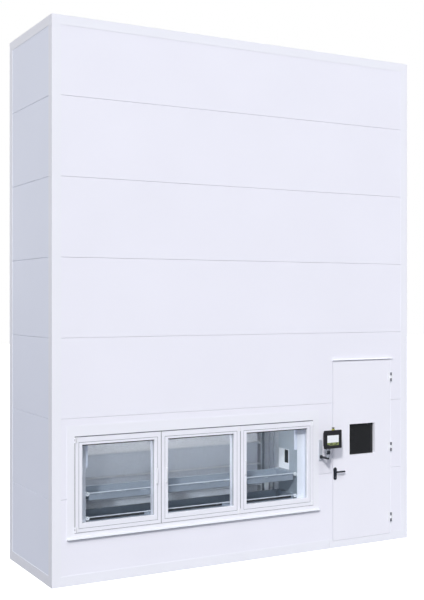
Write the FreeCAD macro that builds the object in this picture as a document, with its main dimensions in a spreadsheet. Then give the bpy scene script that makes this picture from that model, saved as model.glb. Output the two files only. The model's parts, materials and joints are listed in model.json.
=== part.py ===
import FreeCAD, Part
import math
import os
import Sketcher

# Vertical lift module: a tall clad cabinet with two columns of trays, a lift between them,
# a glazed picking bay in front and a service aisle behind a door on the right.
# Millimetres. X to the right seen from the front, Y to the back, Z up.
# The origin is the middle of the floor area. The front faces -Y.

doc = FreeCAD.newDocument("vertical_lift_module")

SIZES = {
    # the front, from left to right
    "left_margin": 268,
    "bay_width": 3218,
    "console_strip": 316,
    "door_width": 933,
    "right_margin": 285,
    # the depth, from a tray column outwards
    "tray_depth": 415,
    "column_gap": 18,
    "tray_clearance": 7.5,
    "beam_depth": 40,
    "panel_depth": 60,
    "trim": 2,
    # the height
    "overall_height": 6360,
    "base_height": 70,
    "pad_thickness": 10,
    "course_height": 900,
    "seam_gap": 2,
    "sheet": 1.5,
    "roof_strip": 1004,
    "corner_trim_width": 108,
    "top_trim_height": 110,
    "base_trim_height": 120,
    "base_joint_offset": 56,
    "trim_floor_gap": 3,
    "door_trim_height": 92,
    # frame
    "post_width": 80,
    "rack_post_width": 60,
    "tube_wall": 3,
    "beam_height": 60,
    "base_bar_width": 100,
    "pad_side": 140,
    "anchor_inset": 45,
    "head_clearance": 120,
    "anchor_radius": 9,
    "partition_offset": 120,
    # bay and its windows
    "bay_bottom": 587,
    "bay_height": 1074,
    "jamb_width": 172,
    "surround_width": 92,
    "surround_head": 128,
    "surround_foot": 70,
    "surround_thickness": 3,
    "drip_depth": 34,
    "drip_height": 22,
    "sash_gap": 6,
    "sash_proud": 12,
    "sash_depth": 52,
    "sash_band": 42,
    "sash_head_band": 58,
    "sash_stile": 85,
    "sash_rail": 100,
    "bead_depth": 23,
    "bead_land": 6,
    "rebate": 10,
    "pane": 4,
    "pane_space": 12,
    "frame_bar": 60,
    "frame_sill": 85,
    "mullion": 174,
    "frame_depth": 56,
    "pull_bottom": 468,
    "pull_height": 185,
    "pull_proud": 32,
    "pull_bar": 12,
    "pull_edge": 60,
    "lining": 2,
    "bay_floor_rise": 15,
    "bay_ceiling_rise": 29,
    "sensor_plate_start": 285,
    "sensor_plate_end": 8,
    "sensor_plate_bottom": 1010,
    "sensor_plate_height": 257,
    "sensor_window_start": 15,
    "sensor_window_width": 75,
    "sensor_window_bottom": 85,
    "sensor_window_height": 165,
    # trays and racks
    "tray_end_clearance": 12,
    "tray_height": 90,
    "deep_tray_height": 270,
    "tray_sheet": 2,
    "rim_height": 14,
    "rim_width": 10,
    "tray_hook": 35,
    "grip_side": 12,
    "grip_inset": 7.5,
    "grip_margin": 17.5,
    "slot_length": 85,
    "slot_height": 10,
    "slot_pitch": 280,
    "tray_pitch": 280,
    "upper_tray_top": 1000,
    "lower_tray_top": 725,
    "rack_sheet": 3,
    "ledge_width": 32,
    "shaft_sheet_rise": 130,
    "shaft_sheet_drop": 180,
    "running_gap": 0.3,
    "curtain_side": 28,
    "curtain_bottom": 1290,
    # service door
    "door_bottom": 97,
    "door_height": 2309,
    "door_gap": 5,
    "door_inset": 4,
    "jamb_lap": 10,
    "seal_width": 8,
    "jamb_bar": 70,
    "vision_width": 408,
    "vision_height": 402,
    "vision_bottom": 1178,
    "vision_edge": 262,
    "vision_recess": 44,
    "vision_pane": 6,
    "lever_height": 985,
    "lever_backset": 30,
    "lever_length": 122,
    "lever_radius": 11,
    "lever_stand": 50,
    "spindle_radius": 8,
    "back_plate_width": 50,
    "back_plate_height": 160,
    "back_plate_drop": 106,
    "back_plate_thickness": 9,
    "inner_plate_width": 36,
    "bolt_height": 20,
    "bolt_width": 12,
    "bolt_throw": 12,
    "head_drip_depth": 16,
    "head_drip_height": 42,
    # hinges
    "sash_hinge_height": 60,
    "sash_hinge_inset": 32,
    "sash_knuckle": 7,
    "sash_pin": 3,
    "sash_leaf_reach": 25,
    "door_hinge_height": 116,
    "door_knuckle": 10,
    "door_pin": 5,
    "door_leaf_reach": 44,
    "hinge_leaf": 2.5,
    "pin_clearance": 0.05,
    # operator console
    "console_height": 230,
    "console_width": 274,
    "console_depth": 60,
    "console_bottom": 1320,
    "console_reach": 200,
    "console_door_gap": 10,
    "console_wall": 3,
    "console_bezel": 18,
    "console_step": 28,
    "screen_offset": 5,
    "screen_rise": 40,
    "screen_width": 176,
    "screen_height": 126,
    "bracket_width": 44,
    "bracket_height": 250,
    "bracket_depth": 16,
    "arm_height": 1195,
    "arm_bar": 24,
    "arm_inset": 82,
    "console_pin": 8,
    "knuckle_radius": 22,
    "knuckle_width": 46,
    "tilt_drop": 48,
    "ear_radius": 16,
    "ear_thickness": 9,
    "button_offset": 28,
    "button_stem": 8,
    "button_head": 19,
    "button_travel": 6,
    "collar_radius": 20,
    # lift
    "carriage_bottom": 180,
    "cheek_height": 420,
    "cheek_thickness": 8,
    "carriage_ledge": 560,
    "carriage_beam": 60,
    "rail_depth": 10,
    "puller_slide": 60,
    "puller_peg_reach": 75,
    "puller_peg": 4.5,
    "shoe_height": 80,
    "shoe_depth": 34,
    "clamp_rise": 200,
    "clamp_height": 60,
    "belt_width": 25,
    "belt_thickness": 5,
    "pulley_radius": 50,
    "shaft_radius": 20,
    "axle_radius": 12,
    "drive_drop": 118,
    "idler_height": 135,
    "flange_rim": 8,
    "bearing_offset": 48,
    "bearing_width": 25,
    "bearing_side": 30,
    "gearbox_offset": 76,
    "gearbox_length": 160,
    "gearbox_side": 65,
    "motor_radius": 60,
    "motor_length": 300,
    # electrical cabinet and cable gland
    "cabinet_depth": 240,
    "cabinet_width": 600,
    "cabinet_height": 1000,
    "cabinet_bottom": 1200,
    "cabinet_front": 100,
    "cabinet_leaf": 16,
    "cabinet_pin": 4,
    "gland_bore": 9,
    "gland_drop": 310,
    "gland_inset": 300,
}

# How far a cutter runs past the face that it opens
OVERRUN = 5.0
# Tray levels in use, counted in pitches from the level of the upper bay tray
REAR_LEVELS = (-1, 0, 1, 2, 4, 7, 10, 14)
FRONT_LEVELS = (4, 5, 7, 10, 13)
SASH_COUNT = 3
# Heights of the door hinges' middles as shares of the leaf
DOOR_HINGES = (0.093, 0.498, 0.899)


class Size:
    """A length that knows its number and the sheet expression that gives it."""

    def __init__(self, number, text):
        self.number = number
        self.text = text

    def __add__(self, other):
        other = as_size(other)
        return Size(self.number + other.number, f"({self.text} + {other.text})")

    def __sub__(self, other):
        other = as_size(other)
        return Size(self.number - other.number, f"({self.text} - {other.text})")

    def __mul__(self, other):
        other = as_size(other)
        return Size(self.number * other.number, f"({self.text} * {other.text})")

    def __truediv__(self, other):
        other = as_size(other)
        return Size(self.number / other.number, f"({self.text} / {other.text})")

    def __neg__(self):
        return Size(-self.number, f"(0 - {self.text})")

    def __radd__(self, other):
        return as_size(other) + self

    def __rsub__(self, other):
        return as_size(other) - self

    def __rmul__(self, other):
        return as_size(other) * self


def as_size(value):
    """A plain number as a Size."""
    if isinstance(value, Size):
        return value
    return Size(float(value), f"{float(value):.6f}")


class Sheet:
    """The driving sizes, each read by its alias."""


sheet = doc.addObject("Spreadsheet::Sheet", "sizes")
size = Sheet()
for row, (alias, number) in enumerate(SIZES.items(), 1):
    sheet.set(f"A{row}", alias)
    sheet.set(f"B{row}", str(number))
    sheet.setAlias(f"B{row}", alias)
    setattr(size, alias, Size(float(number), f"sizes.{alias}"))
doc.recompute()

nodes = {}


# Helpers: blocks, tubes, cylinders, outlines and groups


def set_place(thing, **at):
    """Bind the placement of a thing along the named axes."""
    for axis, value in at.items():
        thing.setExpression(f"Placement.Base.{axis}", as_size(value).text)


def box(name, x, y, z):
    """A block between two values on each axis."""
    block = doc.addObject("Part::Box", name)
    for side, (low, high) in zip(("Length", "Width", "Height"), (x, y, z)):
        block.setExpression(side, (as_size(high) - low).text)
    set_place(block, x=x[0], y=y[0], z=z[0])
    return block


AXIS_TURN = {
    "x": FreeCAD.Rotation(FreeCAD.Vector(0, 1, 0), 90),
    "y": FreeCAD.Rotation(FreeCAD.Vector(1, 0, 0), -90),
    "z": FreeCAD.Rotation(),
}


def cylinder(name, axis, radius, start, end, centre):
    """A cylinder along an axis; centre is a dict of the other two coordinates."""
    rod = doc.addObject("Part::Cylinder", name)
    rod.setExpression("Radius", as_size(radius).text)
    rod.setExpression("Height", (as_size(end) - start).text)
    rod.Placement = FreeCAD.Placement(FreeCAD.Vector(), AXIS_TURN[axis])
    set_place(rod, **{axis: start}, **centre)
    return rod


def group(name, parts):
    """Separate solids that share one node or one cutter."""
    compound = doc.addObject("Part::Compound", name)
    compound.Links = parts
    return compound


def cut(name, base, *tools):
    """A base less its tools."""
    result = doc.addObject("Part::Cut", name)
    result.Base = base
    result.Tool = tools[0] if len(tools) == 1 else group(name + "_tools", list(tools))
    return result


def fuse(name, *parts):
    """Parts made one solid."""
    result = doc.addObject("Part::MultiFuse", name)
    result.Shapes = list(parts)
    result.Refine = True
    return result


def node(thing, name=None):
    """Keep a thing as a named node of the part."""
    if name:
        thing.Label = name
    nodes[thing.Label] = thing
    return thing


def grow(bounds, amount):
    """A pair of limits moved outwards by an amount."""
    return bounds[0] - amount, bounds[1] + amount


def tube(name, along, x, y, z):
    """A rectangular hollow section, open at the ends of one axis."""
    outer = box(name + "_outer", x, y, z)
    inner = {}
    for axis, bounds in (("x", x), ("y", y), ("z", z)):
        shift = OVERRUN if axis == along else -size.tube_wall
        inner[axis] = grow((as_size(bounds[0]), as_size(bounds[1])), shift)
    return cut(name, outer, box(name + "_inner", **inner))


PLANES = {"XY": ("XY_Plane", "z"), "XZ": ("XZ_Plane", "y"), "YZ": ("YZ_Plane", "x")}


def new_sketch(body, role, name, offset=None):
    """A sketch on one of a body's own origin planes."""
    plane = [p for p in body.Origin.OriginFeatures if p.Role == role][0]
    sketch = body.newObject("Sketcher::SketchObject", name)
    sketch.AttachmentSupport = (plane, "")
    sketch.MapMode = "FlatFace"
    if offset is not None:
        sketch.setExpression("AttachmentOffset.Base.z", as_size(offset).text)
    return sketch


def draw(sketch, corners):
    """A closed outline whose corners are bound to sizes."""
    corners = [(as_size(u), as_size(v)) for u, v in corners]
    first = sketch.GeometryCount
    count = len(corners)
    for index, (u, v) in enumerate(corners):
        next_u, next_v = corners[(index + 1) % count]
        start = FreeCAD.Vector(u.number, v.number, 0)
        end = FreeCAD.Vector(next_u.number, next_v.number, 0)
        sketch.addGeometry(Part.LineSegment(start, end), False)
    for index, (u, v) in enumerate(corners):
        line = first + index
        after = first + (index + 1) % count
        sketch.addConstraint(Sketcher.Constraint("Coincident", line, 2, after, 1))
        for kind, value in (("DistanceX", u), ("DistanceY", v)):
            number = sketch.addConstraint(Sketcher.Constraint(kind, -1, 1, line, 1, value.number))
            sketch.setExpression(f"Constraints[{number}]", value.text)


def rectangle(u, v):
    """The corners of a rectangle."""
    return [(u[0], v[0]), (u[1], v[0]), (u[1], v[1]), (u[0], v[1])]


def extrusion(name, plane, outlines, low, high):
    """A body padded from outlines, between two values along the plane's normal."""
    role, axis = PLANES[plane]
    body = doc.addObject("PartDesign::Body", name)
    sketch = new_sketch(body, role, name + "_outline")
    for outline in outlines:
        draw(sketch, outline)
    pad = body.newObject("PartDesign::Pad", name + "_pad")
    pad.Profile = sketch
    pad.Reversed = plane == "XZ"
    pad.setExpression("Length", (as_size(high) - low).text)
    set_place(body, **{axis: low})
    return body


def ring(name, plane, u, v, bar, low, high):
    """A rectangular ring with a bar of one width."""
    inside = rectangle(grow(u, -bar), grow(v, -bar))
    return extrusion(name, plane, [rectangle(u, v), inside], low, high)


# Places worked out from the driving sizes

width = size.left_margin + size.bay_width + size.console_strip + size.door_width + size.right_margin
wall_stack = size.trim + size.panel_depth + size.beam_depth + size.tray_clearance
depth = size.tray_depth * 3 + size.column_gap * 2 + wall_stack * 2
top = size.overall_height

left, right = -width / 2, width / 2
front, back = -depth / 2, depth / 2
skin_left, skin_right = left + size.trim, right - size.trim
skin_front, skin_back = front + size.trim, back - size.trim
inner_left, inner_right = skin_left + size.panel_depth, skin_right - size.panel_depth
inner_front, inner_back = skin_front + size.panel_depth, skin_back - size.panel_depth
beam_front, beam_back = inner_front + size.beam_depth, inner_back - size.beam_depth
roof_top = top - size.trim
roof_under = roof_top - size.panel_depth

bay_left = left + size.left_margin
bay_right = bay_left + size.bay_width
bay_top = size.bay_bottom + size.bay_height
door_left = bay_right + size.console_strip
door_right = door_left + size.door_width
door_top = size.door_bottom + size.door_height

middle = (bay_left + bay_right) / 2
wall_distance = size.bay_width / 2 - size.jamb_width
column_offset = size.tray_depth + size.column_gap
shaft_half = (size.tray_depth + size.column_gap) / 2
partition_x = door_left - size.partition_offset
ring_top = roof_under - size.beam_height
ring_low = door_top + size.head_clearance
ring_middle = (ring_low + ring_top) / 2
drive_height = roof_under - size.drive_drop


def span(side, near, far):
    """Limits on X at distances outwards from the bay wall, on one side of the machine."""
    if side > 0:
        return middle + (wall_distance + near), middle + (wall_distance + far)
    return middle - (wall_distance + far), middle - (wall_distance + near)


SIDES = {"left": -1, "right": 1}


# Base frame, pads, posts, beams


def make_base():
    """Welded-looking base of hollow bars, with pads and anchor plates under it."""
    level = (size.pad_thickness, size.base_height)
    bar = size.base_bar_width
    bars = [
        tube("base_front", "x", (skin_left, skin_right), (skin_front, skin_front + bar), level),
        tube("base_back", "x", (skin_left, skin_right), (skin_back - bar, skin_back), level),
    ]
    between = (skin_front + bar, skin_back - bar)
    crossings = {
        "base_left": (skin_left, skin_left + bar),
        "base_right": (skin_right - bar, skin_right),
        "base_rack_left": span(-1, 0, bar),
        "base_rack_right": span(1, 0, bar),
        "base_partition": (partition_x - size.post_width, partition_x),
    }
    for name, x in crossings.items():
        bars.append(tube(name, "y", x, between, level))
    node(group("base_frame", bars))

    plates = []
    half = size.pad_side / 2
    reach_x = -(skin_left + bar + size.anchor_inset)
    reach_y = -(skin_front + bar + size.anchor_inset)
    for name, x_sign, y_sign in (("fl", -1, -1), ("fr", 1, -1), ("bl", -1, 1), ("br", 1, 1)):
        x, y = reach_x * x_sign, reach_y * y_sign
        floor = (0, size.pad_thickness)
        plate = box(f"plate_{name}", (x - half, x + half), (y - half, y + half), floor)
        hole = cylinder(
            f"plate_hole_{name}", "z", size.anchor_radius, -OVERRUN,
            size.pad_thickness + OVERRUN, {"x": x, "y": y},
        )
        plates.append(cut(f"anchor_plate_{name}", plate, hole))
    for name, side in SIDES.items():
        for end, y_sign in (("front", -1), ("back", 1)):
            y = shaft_half * y_sign * 2
            x = span(side, 0, size.base_bar_width)
            plates.append(box(f"pad_{name}_{end}", x, (y - half, y + half), (0, size.pad_thickness)))
    node(group("anchor_plates", plates))


def make_posts():
    """Posts of the cabinet and of the two rack columns."""
    posts = []
    foot = (size.base_height, ring_top)
    rows = {
        "left": (inner_left, inner_left + size.post_width),
        "partition": (partition_x - size.post_width, partition_x),
        "right": (inner_right - size.post_width, inner_right),
    }
    for name, x in rows.items():
        posts.append(tube(f"post_{name}_front", "z", x, (inner_front, beam_front), foot))
        posts.append(tube(f"post_{name}_back", "z", x, (beam_back, inner_back), foot))
    near, far = size.rack_sheet, size.rack_sheet + size.rack_post_width
    for name, side in SIDES.items():
        x = span(side, near, far)
        rack_rows = {
            "outer_front": (beam_front, beam_front + size.beam_depth),
            "inner_front": (-shaft_half - size.beam_depth, -shaft_half),
            "inner_back": (shaft_half, shaft_half + size.beam_depth),
            "outer_back": (beam_back - size.beam_depth, beam_back),
        }
        for row, y in rack_rows.items():
            posts.append(tube(f"rack_post_{name}_{row}", "z", x, y, foot))
    node(group("frame_posts", posts))


def make_beams():
    """Ring beams round the cabinet at three heights, with ties along both racks."""
    beams = []
    tie = size.rack_sheet + size.rack_post_width
    for name, low in (("low", ring_low), ("middle", ring_middle), ("top", ring_top)):
        z = (low, low + size.beam_height)
        if name == "top":
            stretches = {"run": (inner_left, inner_right)}
        else:
            stretches = {
                "left_run": (inner_left + size.post_width, partition_x - size.post_width),
                "right_run": (partition_x, inner_right - size.post_width),
            }
        for stretch, x in stretches.items():
            beams.append(tube(f"beam_{name}_front_{stretch}", "x", x, (inner_front, beam_front), z))
            beams.append(tube(f"beam_{name}_back_{stretch}", "x", x, (beam_back, inner_back), z))
        edges = {
            "left": (inner_left, inner_left + size.beam_depth),
            "right": (inner_right - size.beam_depth, inner_right),
            "tie_left": span(-1, tie, tie + size.beam_depth),
            "tie_right": span(1, tie, tie + size.beam_depth),
        }
        for edge, x in edges.items():
            beams.append(tube(f"beam_{name}_{edge}", "y", x, (beam_front, beam_back), z))
    node(group("ring_beams", beams))


# Racks, ledges and trays


def ledge_under(rim_top):
    """Top of the ledges that carry a tray whose rim is at a height."""
    return rim_top - size.rim_height - size.running_gap


def rack_side(name, side, y, z, ledge_tops):
    """A rack sheet, and the ledge riveted to it under every tray level."""
    parts = [box(name + "_sheet", span(side, 0, size.rack_sheet), y, z)]
    for index, ledge_top in enumerate(ledge_tops):
        x = span(side, -size.ledge_width, 0)
        parts.append(box(f"{name}_ledge_{index}", x, y, (ledge_top - size.rack_sheet, ledge_top)))
    return parts


def levels_between(low, high, height):
    """Numbers of the tray levels whose trays fit between two heights."""
    pitch, start = size.tray_pitch.number, size.upper_tray_top.number
    first = math.ceil((low.number + height.number - start) / pitch)
    last = math.floor((high.number - start) / pitch)
    return range(first, last + 1)


def level_top(number):
    """Rim height of a tray level."""
    return size.upper_tray_top + size.tray_pitch * number


def make_racks():
    """Both sides of the front and rear columns and of the shaft, and the ledges in the bay."""
    parts = []
    floor = size.base_height
    front_y = (beam_front, -shaft_half)
    back_y = (shaft_half, beam_back)
    stretches = {
        "front_low": (front_y, (floor, bay_floor_z), size.tray_height),
        "front_high": (front_y, (bay_ceiling_z, ring_top), size.tray_height),
        "rear": (back_y, (floor, ring_top), size.deep_tray_height),
    }
    for name, side in SIDES.items():
        for stretch, (y, z, height) in stretches.items():
            ledge_tops = [ledge_under(level_top(number)) for number in levels_between(*z, height)]
            parts += rack_side(f"rack_{stretch}_{name}", side, y, z, ledge_tops)
        for level, rim_top in (("upper", size.upper_tray_top), ("lower", size.lower_tray_top)):
            ledge_top = ledge_under(rim_top)
            x = span(side, -size.ledge_width, 0)
            flat = box(f"bay_{level}_flat_{name}", x, front_y, (ledge_top - size.rack_sheet, ledge_top))
            x = span(side, -size.rack_sheet, 0)
            leg = box(f"bay_{level}_leg_{name}", x, front_y, (ledge_top - 35, ledge_top))
            parts.append(fuse(f"bay_ledge_{level}_{name}", flat, leg))
        far = size.rack_sheet + size.rack_post_width
        x = span(side, far - size.rack_sheet, far)
        z = (size.base_height + size.shaft_sheet_rise, ring_top - size.shaft_sheet_drop)
        parts.append(box(f"shaft_sheet_{name}", x, (-shaft_half, shaft_half), z))
    node(group("rack_sides", parts))


def tray(name, y_centre, rim_top, height, slotted=True):
    """A folded sheet tray with a thick rim, end hooks and, where slotted, a row of slots in front."""
    length = wall_distance * 2 - size.tray_end_clearance * 2
    half_length, half_depth = length / 2, size.tray_depth / 2
    outer_x = half_length - size.tray_hook
    outer_y = half_depth - size.rim_width
    body = doc.addObject("PartDesign::Body", name)
    walls = new_sketch(body, "XY_Plane", name + "_walls")
    draw(walls, rectangle((-outer_x, outer_x), (-outer_y, outer_y)))
    wall_pad = body.newObject("PartDesign::Pad", name + "_wall_pad")
    wall_pad.Profile = walls
    wall_pad.setExpression("Length", (height - size.rim_height).text)
    rim = new_sketch(body, "XY_Plane", name + "_rim", height - size.rim_height)
    draw(rim, rectangle((-half_length, half_length), (-half_depth, half_depth)))
    rim_pad = body.newObject("PartDesign::Pad", name + "_rim_pad")
    rim_pad.Profile = rim
    rim_pad.setExpression("Length", size.rim_height.text)
    hollow = new_sketch(body, "XY_Plane", name + "_hollow", height)
    inner_x, inner_y = outer_x - size.tray_sheet, outer_y - size.tray_sheet
    draw(hollow, rectangle((-inner_x, inner_x), (-inner_y, inner_y)))
    pocket = body.newObject("PartDesign::Pocket", name + "_pocket")
    pocket.Profile = hollow
    pocket.setExpression("Length", (height - size.tray_sheet).text)
    grips = new_sketch(body, "XY_Plane", name + "_grips", height)
    grip_x, grip_y, grip = outer_x + size.grip_inset, half_depth - size.grip_margin, size.grip_side / 2
    for x_sign in (-1, 1):
        for y_sign in (-1, 1):
            u = (grip_x * x_sign - grip, grip_x * x_sign + grip)
            v = (grip_y * y_sign - grip, grip_y * y_sign + grip)
            draw(grips, rectangle(u, v))
    grip_pocket = body.newObject("PartDesign::Pocket", name + "_grip_pocket")
    grip_pocket.Profile = grips
    grip_pocket.setExpression("Length", (size.rim_height * 2).text)
    body.Tip = grip_pocket
    set_place(body, x=middle, y=y_centre, z=rim_top - height)
    if not slotted:
        return body
    slots = new_sketch(body, "XZ_Plane", name + "_slots", outer_y)
    count = max(2, int(2 * inner_x.number / size.slot_pitch.number) + 1)
    first = size.slot_pitch * (-(count - 1) / 2)
    slot_middle = height - size.rim_height - size.slot_height
    u = (first - size.slot_length / 2, first + size.slot_length / 2)
    v = (slot_middle - size.slot_height / 2, slot_middle + size.slot_height / 2)
    draw(slots, rectangle(u, v))
    slot = body.newObject("PartDesign::Pocket", name + "_slot")
    slot.Profile = slots
    slot.setExpression("Length", (size.tray_sheet * 2).text)
    pattern = body.newObject("PartDesign::LinearPattern", name + "_slot_row")
    pattern.Originals = [slot]
    pattern.Direction = (slots, ["H_Axis"])
    pattern.Mode = "Spacing"
    pattern.setExpression("Offset", size.slot_pitch.text)
    pattern.Occurrences = count
    body.Tip = pattern
    return body


def make_trays():
    """The two bay trays and the stored ones."""
    node(tray("bay_tray_upper", -column_offset, size.upper_tray_top, size.tray_height))
    node(tray("bay_tray_lower", -column_offset, size.lower_tray_top, size.tray_height))
    stored = []
    ceiling = ring_top.number - size.tray_height.number
    for number in FRONT_LEVELS:
        if level_top(number).number < ceiling:
            stored.append(tray(f"front_tray_{number}", -column_offset, level_top(number), size.tray_height))
    node(group("stored_trays_front", stored))
    stored = []
    for number in REAR_LEVELS:
        if level_top(number).number < ceiling:
            name = f"rear_tray_{number}".replace("-", "minus_")
            stored.append(tray(name, column_offset, level_top(number), size.deep_tray_height, slotted=False))
    node(group("stored_trays_rear", stored))


# Cladding


def cassette(name, x, y, z, open_to, holes=()):
    """A folded sheet panel, open on one side, with returns round its holes.

    open_to is the axis and sign of the open side. Each hole is a list of limits on two axes.
    """
    limits = {"x": x, "y": y, "z": z}
    axis, sign = open_to
    outer = box(name + "_outer", x, y, z)
    core = {}
    for letter, bounds in limits.items():
        low, high = bounds[0] + size.sheet, bounds[1] - size.sheet
        if letter == axis:
            low, high = (low, bounds[1] + OVERRUN) if sign > 0 else (bounds[0] - OVERRUN, high)
        core[letter] = (low, high)
    inner = box(name + "_inner", **core)
    if holes:
        openings, grown = [], []
        for index, hole in enumerate(holes):
            through = {axis: grow(limits[axis], OVERRUN), **hole}
            wide = {key: grow(value, size.sheet) if key in hole else value for key, value in through.items()}
            openings.append(box(f"{name}_hole_{index}", **through))
            grown.append(box(f"{name}_lip_{index}", **wide))
        outer = cut(name + "_blank", outer, *openings)
        inner = cut(name + "_core", inner, *grown)
    return cut(name, outer, inner)


def course_limits():
    """Lower and upper limits of each cladding course."""
    count = math.ceil((roof_under.number - size.base_height.number) / size.course_height.number)
    limits = []
    for index in range(count):
        low = size.base_height + size.course_height * index
        high = roof_under if index == count - 1 else low + size.course_height - size.seam_gap
        limits.append((low, high))
    return limits


fit = 0.5
bay_hole = {"x": grow((bay_left, bay_right), fit), "z": grow((size.bay_bottom, bay_top), fit)}
door_hole = {
    "x": grow((door_left, door_right), size.door_gap),
    "z": (size.base_height - OVERRUN, door_top + size.door_gap),
}


def make_front_panels():
    """Front courses, cut round the bay and the door, with the strike hole for the bolt."""
    panels = []
    for index, z in enumerate(course_limits(), 1):
        holes = []
        if z[0].number < bay_top.number and z[1].number > size.bay_bottom.number:
            holes.append(bay_hole)
        if z[0].number < door_top.number:
            holes.append(door_hole)
        x, y = (skin_left, skin_right), (skin_front, inner_front)
        panels.append(cassette(f"front_course_{index}", x, y, z, ("y", 1), holes))
    bolt_y = door_bolt_y()
    strike = box(
        "strike_hole",
        (door_left - size.bolt_throw - OVERRUN, door_left - size.door_gap + 1),
        grow(bolt_y, 1),
        grow((size.lever_height - size.bolt_height / 2, size.lever_height + size.bolt_height / 2), 1),
    )
    with_strike = [cut(f"front_panel_{i}", panel, strike) for i, panel in enumerate(panels[:3], 1)]
    node(group("front_panels", with_strike + panels[3:]))


def make_side_panels():
    """Left, right and rear courses and the roof."""
    sides = {
        "left_panels": ((skin_left, inner_left), ("x", 1)),
        "right_panels": ((inner_right, skin_right), ("x", -1)),
    }
    for name, (x, open_to) in sides.items():
        y = (inner_front, inner_back)
        panels = [
            cassette(f"{name}_{index}", x, y, z, open_to)
            for index, z in enumerate(course_limits(), 1)
        ]
        node(group(name, panels))
    panels = []
    for index, z in enumerate(course_limits(), 1):
        x, y = (skin_left, skin_right), (inner_back, skin_back)
        panel = cassette(f"rear_course_{index}", x, y, z, ("y", -1))
        if z[0].number < gland_z().number < z[1].number:
            passage = cylinder(
                "gland_passage", "y", size.gland_bore + 4, inner_back, skin_back + OVERRUN,
                {"x": gland_x(), "z": gland_z()},
            )
            panel = cut(f"rear_panel_{index}", panel, passage)
        panels.append(panel)
    node(group("rear_panels", panels))

    count = max(1, round(width.number / size.roof_strip.number))
    strip = (skin_right - skin_left) / count
    strips = []
    for index in range(count):
        x = (skin_left + strip * index, skin_left + strip * (index + 1) - size.seam_gap)
        if index == count - 1:
            x = (x[0], skin_right)
        y = (skin_front, skin_back)
        strips.append(cassette(f"roof_strip_{index}", x, y, (roof_under, roof_top), ("z", -1)))
    node(group("roof_panels", strips))


def make_trims():
    """Corner angles, the cap round the roof and the base strips."""
    low, high = size.base_trim_height, top - size.top_trim_height
    trims = []
    for name, x_sign, y_sign in (("fl", -1, -1), ("fr", 1, -1), ("bl", -1, 1), ("br", 1, 1)):
        x_leg = sorted_limits(right * x_sign, (right - size.corner_trim_width) * x_sign, x_sign)
        y_leg = sorted_limits(back * y_sign, (back - size.corner_trim_width) * y_sign, y_sign)
        x_in = sorted_limits(skin_right * x_sign, (right - size.corner_trim_width - 1) * x_sign, x_sign)
        y_in = sorted_limits(skin_back * y_sign, (back - size.corner_trim_width - 1) * y_sign, y_sign)
        outer = box(f"angle_{name}_outer", x_leg, y_leg, (low, high))
        inner = box(f"angle_{name}_inner", x_in, y_in, (low - OVERRUN, high + OVERRUN))
        trims.append(cut(f"corner_trim_{name}", outer, inner))
    cap = box("cap_outer", (left, right), (front, back), (high, top))
    cap_room = (high - OVERRUN, roof_top)
    cap_inside = box("cap_inside", (skin_left, skin_right), (skin_front, skin_back), cap_room)
    rim = size.panel_depth
    cap_mouth = box("cap_mouth", (left + rim, right - rim), (front + rim, back - rim), (high, top + OVERRUN))
    trims.append(cut("roof_cap", cap, cap_inside, cap_mouth))
    node(group("edge_trims", trims))

    floor = size.trim_floor_gap
    joint = door_left - size.base_joint_offset
    height = size.base_trim_height
    front_y, back_y = (front, skin_front), (skin_back, back)
    strips = [
        box("base_strip_front", (left, joint - size.seam_gap), front_y, (floor, height)),
        cut(
            "base_strip_door",
            box("base_strip_door_blank", (joint, right), front_y, (floor, height)),
            box(
                "base_strip_door_notch",
                (door_left - size.door_gap, door_right + size.door_gap),
                grow(front_y, OVERRUN),
                (size.door_trim_height, height + OVERRUN),
            ),
        ),
        box("base_strip_back", (left, right), back_y, (floor, height)),
        box("base_strip_left", (left, skin_left), (skin_front, skin_back), (floor, height)),
        box("base_strip_right", (skin_right, right), (skin_front, skin_back), (floor, height)),
    ]
    node(group("base_trims", strips))


def sorted_limits(outer, inner, sign):
    """Two values as low and high, for a mirrored pair."""
    return (inner, outer) if sign > 0 else (outer, inner)


# Bay: surround, fixed frame, lining, sensors

sash_front = skin_front - size.sash_proud
sash_back = sash_front + size.sash_depth
frame_front = sash_back + 2
frame_back = frame_front + size.frame_depth
sash_pitch = size.bay_width / SASH_COUNT
bay_floor_z = size.bay_bottom + size.bay_floor_rise
bay_ceiling_z = bay_top + size.bay_ceiling_rise


def make_surround():
    """Flashing round the windows, with a drip sill below."""
    x = grow((bay_left, bay_right), size.surround_width)
    z = (size.bay_bottom - size.surround_foot, bay_top + size.surround_head)
    face = skin_front - size.surround_thickness
    inside = rectangle(grow((bay_left, bay_right), 0.5), grow((size.bay_bottom, bay_top), 0.5))
    flashing = extrusion("surround_flashing", "XZ", [rectangle(x, z), inside], face, skin_front)
    sill_y = face - size.drip_depth
    profile = [
        (face, z[0]),
        (sill_y, z[0] + 2),
        (sill_y, z[0] + 8),
        (face, z[0] + size.drip_height),
    ]
    sill = extrusion("drip_sill", "YZ", [profile], x[0], x[1])
    head = make_head_drip()
    node(group("bay_surround", [flashing, sill, head]))


def make_head_drip():
    """Thin strip over the head of the service door."""
    low = door_top + size.door_gap
    high = low + size.head_drip_height
    nose = skin_front - size.head_drip_depth
    profile = [
        (skin_front, low),
        (nose, low + 3),
        (nose, low + 9),
        (skin_front - 4, low + 14),
        (skin_front - 4, high),
        (skin_front, high),
    ]
    return extrusion("door_drip_strip", "YZ", [profile], door_left - 12, door_right + 26)


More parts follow.
